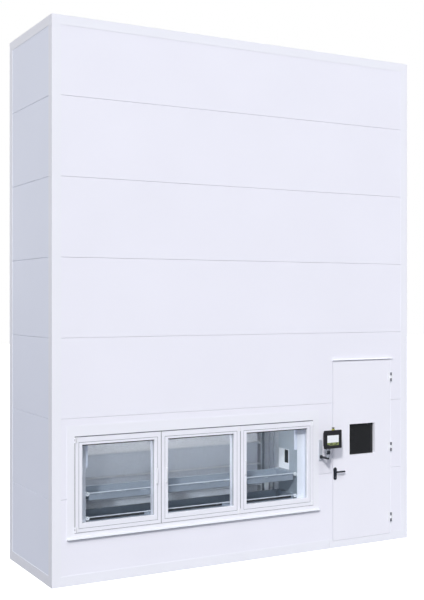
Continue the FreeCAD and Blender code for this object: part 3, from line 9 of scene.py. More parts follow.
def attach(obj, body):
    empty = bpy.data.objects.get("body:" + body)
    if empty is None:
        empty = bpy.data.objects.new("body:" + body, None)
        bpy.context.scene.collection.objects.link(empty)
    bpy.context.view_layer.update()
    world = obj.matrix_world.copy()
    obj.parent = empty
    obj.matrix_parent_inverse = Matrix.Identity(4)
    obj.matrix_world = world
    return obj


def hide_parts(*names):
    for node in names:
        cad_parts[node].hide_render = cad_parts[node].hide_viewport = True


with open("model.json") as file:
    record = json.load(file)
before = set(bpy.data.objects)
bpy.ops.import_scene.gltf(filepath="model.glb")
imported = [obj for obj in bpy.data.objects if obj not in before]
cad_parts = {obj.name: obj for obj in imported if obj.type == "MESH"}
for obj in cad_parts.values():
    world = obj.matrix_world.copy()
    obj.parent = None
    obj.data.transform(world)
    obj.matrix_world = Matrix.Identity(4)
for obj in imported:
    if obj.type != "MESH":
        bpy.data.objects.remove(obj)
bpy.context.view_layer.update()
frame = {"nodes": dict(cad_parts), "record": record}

scene = bpy.context.scene

# Lengths are in mm in the shared frame; the helpers turn them into metres
MM = 0.001
# The cladding's outer face on the front, and the field that the three sashes share
SKIN = -748
BAY_LEFT, BAY_LOW, BAY_HIGH = -2242, 587, 1661
SASH_PITCH = 3218 / 3


# Finishes


def linear(code):
    """An sRGB hex colour as linear RGBA."""
    values = [int(code[i:i + 2], 16) / 255 for i in (1, 3, 5)]
    return [v / 12.92 if v <= 0.04045 else ((v + 0.055) / 1.055) ** 2.4 for v in values] + [1]


def shade(code, factor):
    """A hex colour made darker or lighter by a factor, as linear RGBA."""
    red, green, blue, alpha = linear(code)
    return [red * factor, green * factor, blue * factor, alpha]


def add(tree, kind, inputs=None, **settings):
    """A shader node with its settings; an input is a constant or an output to link."""
    made = tree.nodes.new("ShaderNode" + kind)
    for key, value in settings.items():
        setattr(made, key, value)
    for key, value in (inputs or {}).items():
        if isinstance(value, bpy.types.NodeSocket):
            tree.links.new(value, made.inputs[key])
        else:
            made.inputs[key].default_value = value
    return made


def blank(name):
    """An empty material: itself, its tree and the object coordinates."""
    material = bpy.data.materials.new(name)
    material.use_nodes = True
    tree = material.node_tree
    tree.nodes.clear()
    return material, tree, add(tree, "TexCoord").outputs["Object"]


def maths(tree, operation, first, second):
    """The result of a sum on two values."""
    return add(tree, "Math", {0: first, 1: second}, operation=operation).outputs[0]


def blend_of(tree, factor, first, second):
    """A mix of two colours."""
    return add(tree, "Mix", {0: factor, 6: first, 7: second}, data_type="RGBA").outputs[2]


def between(tree, value, low, high):
    """A 0 to 1 value spread between two numbers."""
    return add(tree, "MapRange", {"Value": value, "To Min": low, "To Max": high}).outputs["Result"]


def surface(tree, **inputs):
    """The principled shader joined to the material's output."""
    names = {key.replace("_", " "): value for key, value in inputs.items()}
    shader = add(tree, "BsdfPrincipled", names)
    add(tree, "OutputMaterial", {"Surface": shader.outputs[0]})


def grain(tree, place, mm, detail=2, stretch=None):
    """Noise with features of a real size, stretched along an axis where asked."""
    if stretch:
        place = add(tree, "Mapping", {"Vector": place, "Scale": stretch}).outputs[0]
    noise = {"Vector": place, "Scale": 1000 / mm, "Detail": detail}
    return add(tree, "TexNoise", noise).outputs[0]


def relief(tree, height, depth_mm, strength):
    """A bump whose full height is a real depth."""
    bump = {"Height": height, "Distance": depth_mm * MM, "Strength": strength}
    return add(tree, "Bump", bump).outputs[0]


def spangle(tree, place, code, spangle_mm):
    """The colour of zinc crystals, each turned its own way, and their tone from 0 to 1."""
    cells = {"Vector": place, "Scale": 1000 / spangle_mm}
    crystals = add(tree, "TexVoronoi", cells).outputs["Color"]
    tone = add(tree, "SeparateColor", {"Color": crystals}).outputs[0]
    return blend_of(tree, tone, shade(code, 0.92), shade(code, 1.06)), tone


def powder_coat(name, code, roughness=0.45, peel_mm=2, drift=0.02):
    """Polyester powder baked on folded sheet: an even colour, a soft gloss and orange peel."""
    material, tree, place = blank(name)
    cloud = grain(tree, place, 900, 1)
    peel = grain(tree, place, peel_mm)
    surface(
        tree, Base_Color=blend_of(tree, cloud, shade(code, 1 - drift), shade(code, 1 + drift)),
        Roughness=between(tree, peel, roughness - 0.05, roughness + 0.05),
        Normal=relief(tree, peel, 0.03, 0.25),
    )
    return material


# The lip of the drip sill lies before and below these, in metres
LIP_FRONT, LIP_TOP = -0.7513, 0.6


def sill_with_darker_lip(name, code, dust):
    """The trim's white powder, a darker grey on the lip of the drip sill."""
    material, tree, place = blank(name)
    where = add(tree, "SeparateXYZ", {"Vector": place}).outputs
    before = maths(tree, "LESS_THAN", where["Y"], LIP_FRONT)
    lip = maths(tree, "MULTIPLY", before, maths(tree, "LESS_THAN", where["Z"], LIP_TOP))
    peel = grain(tree, place, 2)
    # The lip's darker grey comes from the dust argument, with a faint random tone
    film = blend_of(tree, grain(tree, place, 60), shade(dust, 0.97), shade(dust, 1.03))
    surface(
        tree, Base_Color=blend_of(tree, lip, linear(code), film),
        Roughness=between(tree, peel, 0.4, 0.5),
        Normal=relief(tree, peel, 0.03, 0.25),
    )
    return material


def zinc_sheet(name, code, spangle_mm=14, roughness=0.38, metal=0.75):
    """Hot dip galvanised sheet: crystals on a grey metal, a little dusty."""
    material, tree, place = blank(name)
    base, tone = spangle(tree, place, code, spangle_mm)
    dust = grain(tree, place, 260, 3)
    surface(
        tree, Base_Color=blend_of(tree, between(tree, dust, 0, 0.25), base, shade(code, 0.8)),
        Metallic=metal,
        Roughness=between(tree, tone, roughness - 0.06, roughness + 0.08),
        Normal=relief(tree, tone, 0.02, 0.1),
    )
    return material


# The galvanised side walls of the bay lie beyond these planes, in metres
BAY_WALL_RIGHT, BAY_WALL_LEFT, BAY_WALL_FRONT = 0.8038, -2.0698, -0.6475


def bay_sheet(name, white, grey):
    """White powder on the bay's jambs, floor and ceiling, and bare zinc on its side walls."""
    material, tree, place = blank(name)
    where = add(tree, "SeparateXYZ", {"Vector": place}).outputs
    right = maths(tree, "GREATER_THAN", where["X"], BAY_WALL_RIGHT)
    left = maths(tree, "LESS_THAN", where["X"], BAY_WALL_LEFT)
    inside = maths(tree, "GREATER_THAN", where["Y"], BAY_WALL_FRONT)
    bare = maths(tree, "MULTIPLY", maths(tree, "ADD", right, left), inside)
    zinc_tone, tone = spangle(tree, place, grey, 16)
    peel = grain(tree, place, 2)
    surface(
        tree, Base_Color=blend_of(tree, bare, linear(white), zinc_tone),
        Metallic=maths(tree, "MULTIPLY", bare, 0.3),
        Roughness=between(tree, tone, 0.4, 0.48),
        Normal=relief(tree, peel, 0.03, 0.2),
    )
    return material


# The rear trays above this height, in metres, are drawn brighter
BRIGHTER_TRAYS_Z = 1.283


def pale_tray_sheet(name, code, upper_code):
    """Clean galvanised sheet, nearly matt, brighter above a height."""
    material, tree, place = blank(name)
    base, tone = spangle(tree, place, code, 11)
    height = add(tree, "SeparateXYZ", {"Vector": place}).outputs["Z"]
    above = maths(tree, "GREATER_THAN", height, BRIGHTER_TRAYS_Z)
    light = spangle(tree, place, upper_code, 11)[0]
    dust = grain(tree, place, 260, 3)
    surface(
        tree, Base_Color=blend_of(tree, above, base, light),
        Metallic=0.1,
        Roughness=between(tree, dust, 0.42, 0.55),
        Normal=relief(tree, tone, 0.02, 0.1),
    )
    return material


def plated_steel(name, code, roughness=0.3, line_mm=0.4, along=(1, 1, 0.04)):
    """Drawn or ground steel with a thin plating: fine lines that run with the work."""
    material, tree, place = blank(name)
    lines = grain(tree, place, line_mm, 3, along)
    surface(
        tree, Base_Color=blend_of(tree, lines, shade(code, 0.9), shade(code, 1.06)),
        Metallic=1,
        Roughness=between(tree, lines, roughness - 0.08, roughness + 0.1),
        Normal=relief(tree, lines, 0.01, 0.15),
    )
    return material


def rubber(name, code, grain_mm=0.5):
    """Extruded rubber: dark, nearly without gloss, with a dusty bloom."""
    material, tree, place = blank(name)
    bloom = grain(tree, place, 30, 3)
    skin = grain(tree, place, grain_mm)
    surface(
        tree, Base_Color=blend_of(tree, bloom, shade(code, 0.8), shade(code, 1.3)),
        Roughness=between(tree, skin, 0.68, 0.85),
        Normal=relief(tree, skin, 0.03, 0.3),
    )
    return material


def moulded_plastic(name, code, roughness=0.4, grain_mm=0.7, depth=0.3):
    """Injection moulded plastic with a spark eroded grain from its tool."""
    material, tree, place = blank(name)
    texture = grain(tree, place, grain_mm, 3)
    tone = grain(tree, place, 45, 1)
    surface(
        tree, Base_Color=blend_of(tree, tone, shade(code, 0.94), shade(code, 1.06)),
        Roughness=between(tree, texture, roughness - 0.06, roughness + 0.08),
        Normal=relief(tree, texture, 0.03, depth),
    )
    return material


def window_glass(name, code, straight):
    """Flat float glass: clear straight on, mirror-like at a glance on both its sides."""
    material, tree, place = blank(name)
    smear = grain(tree, place, 240, 2)
    tint = blend_of(tree, smear, shade(code, 0.985), shade(code, 1))
    clear = add(tree, "BsdfTransparent", {"Color": tint})
    shine = add(tree, "BsdfGlossy", {"Color": linear("#ffffff"), "Roughness": 0.02})
    facing = add(tree, "LayerWeight", {"Blend": 0.5}).outputs["Facing"]
    glance = maths(tree, "MULTIPLY", maths(tree, "POWER", facing, 5), 1 - straight)
    gloss = maths(tree, "ADD", glance, straight)
    joined = add(tree, "MixShader", {0: gloss, 1: clear.outputs[0], 2: shine.outputs[0]})
    add(tree, "OutputMaterial", {"Surface": joined.outputs[0]})
    return material


def lit_cover(name, body, code, strength, cell_mm=16):
    """A plastic cover lit from behind: a dark or opal body and the glow that comes through."""
    material, tree, place = blank(name)
    cells = grain(tree, place, cell_mm, 0)
    surface(
        tree, Base_Color=linear(body),
        Roughness=0.4,
        Emission_Color=linear(code),
        Emission_Strength=between(tree, cells, strength * 0.94, strength * 1.06),
    )
    return material


finishes = {
    # Front cladding: near-white polyester powder on steel, a soft gloss with a fine peel
    "cladding": powder_coat("cladding_powder_coat", "#f1f1fb", 0.48),
    # Side and rear cladding: the front's powder tinted cooler, painted shade for the cool light on
    # the shaded sides
    "side_cladding": powder_coat("side_cladding_painted_cool_shade", "#edf1ff", 0.48),
    # Edge trims: the same powder on heavier strip
    "trim": powder_coat("trim_powder_coat", "#f1f2fa", 0.45),
    # Service door: powder on a steel cassette leaf
    "door_paint": powder_coat("door_powder_coat", "#f2f2fb", 0.45),
    # Bay lining: white powder on folded sheet, with bare galvanised side walls
    "bay_white": bay_sheet("bay_lining_sheet", "#ebedf2", "#b3bdc6"),
    # Walls of the service aisle: white powder, a little glossier than outside
    "lining_white": powder_coat("aisle_powder_coat", "#e6e9f0", 0.42),
    # Sensor plate: the same powder, clean and bright
    "plate_white": powder_coat("sensor_plate_powder_coat", "#eef1f5", 0.42),
    # Flashing round the windows: the trim's powder, a darker grey on the sill's lip
    "flashing_white": sill_with_darker_lip("flashing_powder_coat", "#f1f2fa", "#dcdfe6"),
    # Frame: light grey powder over welded tube, coarse and rather matt
    "frame_grey": powder_coat("frame_powder_coat", "#b9c1cb", 0.55, 2.6, 0.05),
    # Base frame: dark powder, matt so that dust hardly shows
    "base_steel": powder_coat("base_frame_powder_coat", "#4f545b", 0.6, 3, 0.06),
    # Rack sides and ledges: galvanised sheet with a visible spangle
    "zinc": zinc_sheet("galvanised_rack_sheet", "#dde3ea", 16, 0.42, 0.2),
    # Trays: galvanised sheet, dull and even
    "tray_zinc": zinc_sheet("galvanised_tray_sheet", "#9fa8b3", 11, 0.42, 0.3),
    # Rear trays: paler galvanised sheet, the more so from the third level up
    "pale_tray_zinc": pale_tray_sheet("pale_tray_sheet", "#d3dae4", "#f3f6fb"),
    # Rims of the trays: hemmed edges painted bright, a painted highlight for the light that
    # catches them
    "rim_zinc": zinc_sheet("painted_highlight_rim_zinc", "#eef2f7", 8, 0.32, 0.2),
    # Sash profiles: white lacquered aluminium, smooth and cool
    "profile_white": powder_coat("sash_profile_lacquer", "#f0f1fa", 0.35, 1.4, 0.01),
    # Sash panes: clear laminated glass, seen by what it mirrors at a glance
    "glazing": window_glass("clear_safety_glass", "#fdfeff", 0.003),
    # Door pane: dark tinted polycarbonate, glossy and nearly opaque
    "dark_glass": moulded_plastic("tinted_vision_pane", "#202122", 0.16, 60, 0.02),
    # Seals: black EPDM, matt with a dusty bloom
    "seal_rubber": rubber("epdm_seal", "#2a2b2e"),
    # Hinge barrels: plated steel turned down, dark grey with fine lines
    "hinge_steel": plated_steel("hinge_barrel_steel", "#6d707a", 0.35),
    # Hinge leaves and pulls: gloss white lacquer
    "white_hardware": powder_coat("white_hardware_lacquer", "#eeeff5", 0.3, 1.2, 0.01),
    # Lever set: satin black lacquer with a blue cast
    "black_metal": powder_coat("lever_set_black_lacquer", "#141a26", 0.4, 0.9, 0.05),
    # Bolt: nickel plated steel, bright and drawn along its length
    "bolt_steel": plated_steel("nickel_plated_bolt", "#c3c5c9", 0.25),
    # Console bracket: light grey powder on bent plate
    "bracket_grey": powder_coat("bracket_powder_coat", "#c3c8d3", 0.45),
    # Console housing: charcoal ABS with a fine moulded grain
    "console_black": moulded_plastic("console_abs", "#141419", 0.45, 0.8, 0.4),
    # Screen: a lit panel behind hard coated film, so an even pale glow
    "screen_glass": lit_cover("display_film", "#23252a", "#eceff6", 0.93),
    # Collar of the stop button: moulded plastic, a warm signal yellow
    "collar_yellow": moulded_plastic("stop_collar_plastic", "#a9a83f", 0.35, 0.9, 0.15),
    # Stop button: moulded plastic, dark olive
    "button_dark": moulded_plastic("stop_button_plastic", "#2c2e16", 0.3, 0.9, 0.15),
    # Sensor bars: extrusion lacquered white, smooth
    "sensor_grey": powder_coat("sensor_profile_lacquer", "#e3e8f4", 0.4, 1.2),
    # Geared motor: blue-grey enamel sprayed on a casting
    "machine_blue_grey": powder_coat("gearmotor_enamel", "#626f80", 0.4, 1.8, 0.05),
    # Drive shaft: ground steel, its lines running round it
    "shaft_steel": plated_steel("ground_shaft_steel", "#a3a6ab", 0.25, 0.3, (1, 0.05, 0.05)),
    # Pulleys: turned aluminium, with the tool's rings on their faces
    "pulley_metal": plated_steel("turned_pulley_aluminium", "#bcbfc4", 0.35, 0.6, (0.05, 1, 1)),
    # Lift belts: cast polyurethane, light grey and matt
    "belt_black": rubber("toothed_belt_polyurethane", "#9da3ac", 0.8),
    # Guide shoes: green nylon, waxy
    "slide_plastic": moulded_plastic("guide_shoe_nylon", "#3a4f40", 0.5, 1.2, 0.2),
    # Lift carriage: blue-grey enamel on welded sheet
    "carriage_paint": powder_coat("carriage_enamel", "#78869a", 0.42, 2, 0.04),
    # Cable gland: dark polyamide, satin
    "gland_plastic": moulded_plastic("gland_polyamide", "#3b3d42", 0.5, 0.8, 0.3),
    # Cabinet: warm light grey powder with a fine texture
    "cabinet_grey": powder_coat("cabinet_textured_powder", "#c3c5c3", 0.6, 1.1, 0.02),

    # Finishes that only the pieces added in this file have
    # Bay lamps: opal covers that glow warm white
    "lamp_white": lit_cover("bay_lamp_cover", "#f4f7ff", "#fffaf3", 14),
    # Screen fields: olive and dark parts of the lit picture
    "status_olive": lit_cover("display_status_field", "#23252a", "#8e9b58", 0.8),
    "status_dark": lit_cover("display_dark_field", "#23252a", "#33382f", 0.4),
    # Sensor body: black moulded housing behind the plate's opening
    "sensor_black": moulded_plastic("sensor_housing_plastic", "#12181b", 0.5, 0.9, 0.2),
    # Tray stops: off-white acetal rollers
    "roller_white": moulded_plastic("acetal_roller", "#e4e7ea", 0.4, 1, 0.15),
    # Screws: zinc plated, bright and small
    "screw_steel": plated_steel("zinc_plated_screw", "#b9bcc2", 0.3, 0.3),
    # Console ears and post: mid grey powder
    "arm_grey": powder_coat("console_arm_powder_coat", "#9ea3ae", 0.42, 1.2),
    # Strip under the sill: grey rubber painting the deep shade under the sill's lip. Gaskets round
    # the panes and over the sashes: grey rubber, the pale one also painting the shade in the
    # sashes' grooves
    "sill_shade_rubber": rubber("sill_painted_shade_rubber", "#55585f"),
    "pale_rubber": rubber("glazing_gasket_rubber", "#8c9097"),
    "head_rubber": rubber("head_gasket_rubber", "#777b84"),
    # Spacer between the panes: bright aluminium strip
    "spacer_metal": plated_steel("pane_spacer_aluminium", "#b5b9be", 0.35, 0.5),
}
# Nodes whose finish differs from the rest of their slot
special = {
    "bay_surround": "flashing_white",
    "bay_lining": "bay_white",
    "bay_sensor_plate": "plate_white",
    "stored_trays_rear": "pale_tray_zinc",
}
for subpart in frame["record"]["subparts"]:
    for held in frame["nodes"][subpart["node"]].material_slots:
        held.material = finishes[special.get(subpart["node"], subpart["material_slot"])]


# Shapes


def sharp_edges(shape):
    """The edges of a shape at which its surface turns a corner."""
    return [e for e in shape.edges if len(e.link_faces) == 2 and e.calc_face_angle() > 0.5]


def rounded(shape, edges, radius, steps=2):
    """A shape with some of its edges rounded."""
    bmesh.ops.bevel(
        shape, geom=edges, offset=radius * MM, offset_type="OFFSET", segments=steps,
        profile=0.5, affect="EDGES", material=-1, clamp_overlap=True,
    )
    return shape


def verts_of(geom):
    """The vertices in an operator's result."""
    return [item for item in geom if isinstance(item, bmesh.types.BMVert)]


def edges_of(geom):
    """The edges in an operator's result."""
    return [item for item in geom if isinstance(item, bmesh.types.BMEdge)]


def grow(limits, by):
    """Two limits moved apart."""
    return limits[0] - by, limits[1] + by


def block(x, y, z, radius=0.6, steps=2, corner=0, corner_steps=6):
    """A block with rounded edges; the edges that run from front to back may be rounder."""
    shape = bmesh.new()
    bmesh.ops.create_cube(shape, size=MM)
    bmesh.ops.scale(shape, vec=[high - low for low, high in (x, y, z)], verts=shape.verts)
    middle = [(low + high) / 2 * MM for low, high in (x, y, z)]
    bmesh.ops.translate(shape, vec=middle, verts=shape.verts)
    if corner:
        depth = 0.9 * (y[1] - y[0]) * MM
        posts = [e for e in shape.edges if abs(e.verts[0].co.y - e.verts[1].co.y) > depth]
        rounded(shape, posts, corner, corner_steps)
    return rounded(shape, sharp_edges(shape), radius, steps) if radius else shape


def sheet_face(outline, y):
    """One face on the front, drawn through points across and up."""
    shape = bmesh.new()
    shape.faces.new([shape.verts.new((u * MM, y * MM, v * MM)) for u, v in outline])
    shape.normal_update()
    return shape


def rectangle(x, z):
    """The four corners of a rectangle on the front."""
    return [(x[0], z[0]), (x[1], z[0]), (x[1], z[1]), (x[0], z[1])]


def gasket(x, z, width, front, back, radius=0):
    """A band just inside a rectangle, between two values of y."""
    shape = sheet_face(rectangle(x, z), front)
    inner = shape.faces[:]
    bmesh.ops.inset_region(
        shape, faces=inner, thickness=width * MM, use_even_offset=True, use_boundary=True,
    )
    bmesh.ops.delete(shape, geom=inner, context="FACES_ONLY")
    grown = bmesh.ops.extrude_face_region(shape, geom=shape.faces[:])["geom"]
    bmesh.ops.translate(shape, vec=(0, (back - front) * MM, 0), verts=verts_of(grown))
    bmesh.ops.recalc_face_normals(shape, faces=shape.faces)
    return rounded(shape, sharp_edges(shape), radius, 1) if radius else shape


def stepped_frame(rings, radius, corner=0):
    """A closed frame drawn through rectangles, each given by its limits and its y."""
    x, z, y = rings[0]
    shape = sheet_face(rectangle(x, z), y)
    face = shape.faces[:][0]
    for x, z, y in rings[1:]:
        face = bmesh.ops.extrude_discrete_faces(shape, faces=[face])["faces"][0]
        middle = face.calc_center_median()
        for vert in face.verts:
            vert.co = (x[vert.co.x > middle.x] * MM, y * MM, z[vert.co.z > middle.z] * MM)
    bmesh.ops.delete(shape, geom=[face], context="FACES_ONLY")
    bmesh.ops.bridge_loops(shape, edges=[e for e in shape.edges if e.is_boundary])
    bmesh.ops.recalc_face_normals(shape, faces=shape.faces)
    if corner:
        reach = (rings[0][0][1] - rings[0][0][0]) / 2 * MM
        centre = sum(rings[0][0]) / 2 * MM
        posts = [
            e for e in sharp_edges(shape)
            if all(abs(v.co.x - centre) > reach - 20 * MM for v in e.verts)
            and abs(e.verts[0].co.y - e.verts[1].co.y) > 0.5 * MM
        ]
        rounded(shape, posts, corner, 6)
    return rounded(shape, sharp_edges(shape), radius, 2)


def turned(profile, base, axis=(0, 0, 1), sides=32):
    """A solid of revolution, from radii and heights along its axis."""
    shape = bmesh.new()
    verts = [shape.verts.new((r * MM, 0, h * MM)) for r, h in profile]
    edges = [shape.edges.new(pair) for pair in zip(verts, verts[1:])]
    bmesh.ops.spin(
        shape, geom=verts + edges, cent=(0, 0, 0), axis=(0, 0, 1),
        angle=math.tau, steps=sides, use_merge=True, use_duplicate=False,
    )
    bmesh.ops.remove_doubles(shape, verts=shape.verts, dist=1e-7)
    loose = [f for f in shape.faces if f.calc_area() < 1e-14]
    bmesh.ops.delete(shape, geom=loose, context="FACES")
    turn = Vector((0, 0, 1)).rotation_difference(Vector(axis)).to_matrix().to_4x4()
    place = Matrix.Translation(Vector(base) * MM) @ turn
    bmesh.ops.transform(shape, matrix=place, verts=shape.verts)
    bmesh.ops.recalc_face_normals(shape, faces=shape.faces)
    return shape


def barrel(radius, length, edge=1):
    """The profile of a solid pin or barrel with rounded ends."""
    ease = 0.3 * edge
    return [
        (0, 0), (radius - edge, 0), (radius - ease, ease), (radius, edge),
        (radius, length - edge), (radius - ease, length - ease), (radius - edge, length),
        (0, length),
    ]


def screw(place, axis, radius=4):
    """A pan head screw with a hollow for its key."""
    r = radius
    profile = [
        (0, 0), (r, 0), (r, 0.18 * r), (0.93 * r, 0.42 * r), (0.72 * r, 0.58 * r),
        (0.5 * r, 0.63 * r), (0.46 * r, 0.25 * r), (0, 0.2 * r),
    ]
    return turned(profile, place, axis, 20)


def bent_bar(points, bend, radius, sides=18):
    """A round bar drawn through points, each corner bent to a radius, with eased ends."""
    points = [Vector(p) * MM for p in points]
    way = (points[1] - points[0]).normalized()
    turn = Vector((0, 0, 1)).rotation_difference(way).to_matrix().to_4x4()
    shape = bmesh.new()
    bmesh.ops.create_circle(
        shape, cap_ends=True, radius=radius * MM, segments=sides,
        matrix=Matrix.Translation(points[0]) @ turn,
    )
    here, edges, ends = points[0], shape.edges[:], shape.edges[:]
    for before, corner, after in zip(points, points[1:], points[2:] + [None]):
        into = (corner - before).normalized()
        angle = into.angle(after - corner) if after else 0
        stop = corner - into * (bend * MM * math.tan(angle / 2))
        grown = bmesh.ops.extrude_edge_only(shape, edges=edges)["geom"]
        edges = edges_of(grown)
        bmesh.ops.translate(shape, vec=stop - here, verts=verts_of(grown))
        here = stop
        if after:
            axis = into.cross(after - corner).normalized()
            centre = here + axis.cross(into) * bend * MM
            swept = bmesh.ops.spin(
                shape, geom=verts_of(grown) + edges, cent=centre, axis=axis, angle=angle, steps=8,
            )
            edges = edges_of(swept["geom_last"])
            here = centre + Matrix.Rotation(angle, 3, axis) @ (here - centre)
    ends += edges
    bmesh.ops.holes_fill(shape, edges=edges)
    bmesh.ops.recalc_face_normals(shape, faces=shape.faces)
    return rounded(shape, ends, radius * 0.3, 2)


def placed(name, data):
    """A new object in the scene."""
    made = bpy.data.objects.new(name, data)
    scene.collection.objects.link(made)
    return made


def piece(name, body, slot, shapes, stands_for=None, finish=None):
    """One named object of shapes that move together, in its slot's finish or its own."""
    joined = bmesh.new()
    for shape in shapes:
        part = bpy.data.meshes.new("part")
        shape.to_mesh(part)
        shape.free()
        joined.from_mesh(part)
        bpy.data.meshes.remove(part)
    mesh = bpy.data.meshes.new(name)
    joined.to_mesh(mesh)
    joined.free()
    for polygon in mesh.polygons:
        polygon.use_smooth = True
    mesh.set_sharp_from_angle(angle=math.radians(38))
    mesh.materials.append(finishes[finish or slot])
    made = placed(name, mesh)
    weighted = made.modifiers.new("weighted_normals", "WEIGHTED_NORMAL")
    weighted.keep_sharp = True
    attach(made, body)
    if stands_for:
        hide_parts(stands_for)
    return made


# Cladding courses

COURSE_LOW, COURSE_PITCH, COURSE_SEAM, COURSE_TOP = 70, 900, 2, 6298
COURSES = [
    (low, min(low + COURSE_PITCH - COURSE_SEAM, COURSE_TOP))
    for low in [COURSE_LOW + COURSE_PITCH * number for number in range(7)]
]
CABINET_X = (-2508, 2508)
SIDE_Y = (-688, 688)
FOLD_DEPTH, FOLD_RADIUS, SHEET = 60, 4, 1.5
BAY_HOLE_X, BAY_HOLE_Z = (-2242.5, 976.5), (586.5, 1661.5)
DOOR_HOLE_X, DOOR_HOLE_TOP = (1287, 2230), 2411
# The opening in the fold beside the door that takes its bolt
STRIKE_Y, STRIKE_Z = (-727, -713), (974, 996)


def cut_strike(shape):
    """Cut the bolt's opening into the fold beside the door."""
    planes = [((0, y, 0), (0, 1, 0)) for y in STRIKE_Y]
    planes += [((0, 0, z), (0, 0, 1)) for z in STRIKE_Z]
    for place, way in planes:
        everything = shape.verts[:] + shape.edges[:] + shape.faces[:]
        bmesh.ops.bisect_plane(shape, geom=everything, plane_co=Vector(place) * MM, plane_no=way)
    hole = []
    for face in shape.faces:
        x, y, z = face.calc_center_median() / MM
        inside = STRIKE_Y[0] < y < STRIKE_Y[1] and STRIKE_Z[0] < z < STRIKE_Z[1]
        if inside and abs(x - DOOR_HOLE_X[0]) < 1:
            hole.append(face)
    bmesh.ops.delete(shape, geom=hole, context="FACES")


def folded_panel(outline, degrees=0, away=0, strike=False):
    """A sheet folded back round its rim, made for the front and then turned to its side."""
    shape = sheet_face(outline, SKIN)
    grown = bmesh.ops.extrude_face_region(shape, geom=shape.faces[:])["geom"]
    bmesh.ops.translate(shape, vec=(0, FOLD_DEPTH * MM, 0), verts=verts_of(grown))
    bmesh.ops.recalc_face_normals(shape, faces=shape.faces)
    rear = (SKIN + FOLD_DEPTH - 1) * MM
    back = [f for f in shape.faces if f.calc_center_median().y > rear]
    bmesh.ops.delete(shape, geom=back, context="FACES_ONLY")
    rounded(shape, sharp_edges(shape), FOLD_RADIUS, 3)
    if strike:
        cut_strike(shape)
    bmesh.ops.solidify(shape, geom=shape.faces[:], thickness=SHEET * MM)
    turn = Matrix.Rotation(math.radians(degrees), 4, "Z")
    place = Matrix.Translation((away * MM, 0, 0)) @ turn
    bmesh.ops.transform(shape, matrix=place, verts=shape.verts)
    return shape


def make_cladding():
    """Folded panels on four sides; the front's go round the bay and the door."""
    left, right = CABINET_X
    bay_l, bay_r = BAY_HOLE_X
    bay_low, bay_high = BAY_HOLE_Z
    door_l, door_r = DOOR_HOLE_X
    (low_1, high_1), (low_2, high_2), (low_3, high_3) = COURSES[:3]
    front = [
        folded_panel([
            (left, low_1), (door_l, low_1), (door_l, high_1), (bay_r, high_1),
            (bay_r, bay_low), (bay_l, bay_low), (bay_l, high_1), (left, high_1),
        ]),
        folded_panel([
            (left, low_2), (bay_l, low_2), (bay_l, bay_high), (bay_r, bay_high),
            (bay_r, low_2), (door_l, low_2), (door_l, high_2), (left, high_2),
        ], strike=True),
        folded_panel([
            (left, low_3), (door_l, low_3), (door_l, DOOR_HOLE_TOP), (door_r, DOOR_HOLE_TOP),
            (door_r, low_3), (right, low_3), (right, high_3), (left, high_3),
        ]),
    ]
    front += [folded_panel(rectangle((door_r, right), z)) for z in COURSES[:2]]
    front += [folded_panel(rectangle(CABINET_X, z)) for z in COURSES[3:]]
    piece("front_course_panels", "machine", "cladding", front, "front_panels")
    aside = right + SKIN
    sides = (
        ("left", SIDE_Y, -90, -aside), ("right", SIDE_Y, 90, aside), ("rear", CABINET_X, 180, 0),
    )
    for name, across, degrees, away in sides:
        panels = [folded_panel(rectangle(across, z), degrees, away) for z in COURSES]
        node = f"{name}_panels"
        piece(f"{name}_course_panels", "machine", "side_cladding", panels, node)


make_cladding()


# Service door fittings

# The door's height and its inner face
DOOR_Z, DOOR_BACK = (97, 2406), -692
DOOR_AXIS, DOOR_KNUCKLE = 2227.5, 10
DOOR_HINGE_Y = SKIN - DOOR_KNUCKLE - 2
DOOR_HINGE_HALF = 58
DOOR_HINGES = [DOOR_Z[0] + (DOOR_Z[1] - DOOR_Z[0]) * share for share in (0.093, 0.498, 0.899)]
# Hinge leaves: reach from the axis, thickness, and the screws' distance from their edges
LEAF_REACH, LEAF, LEAF_SCREW_X, LEAF_SCREW_Z = 44, 3, 14, 18


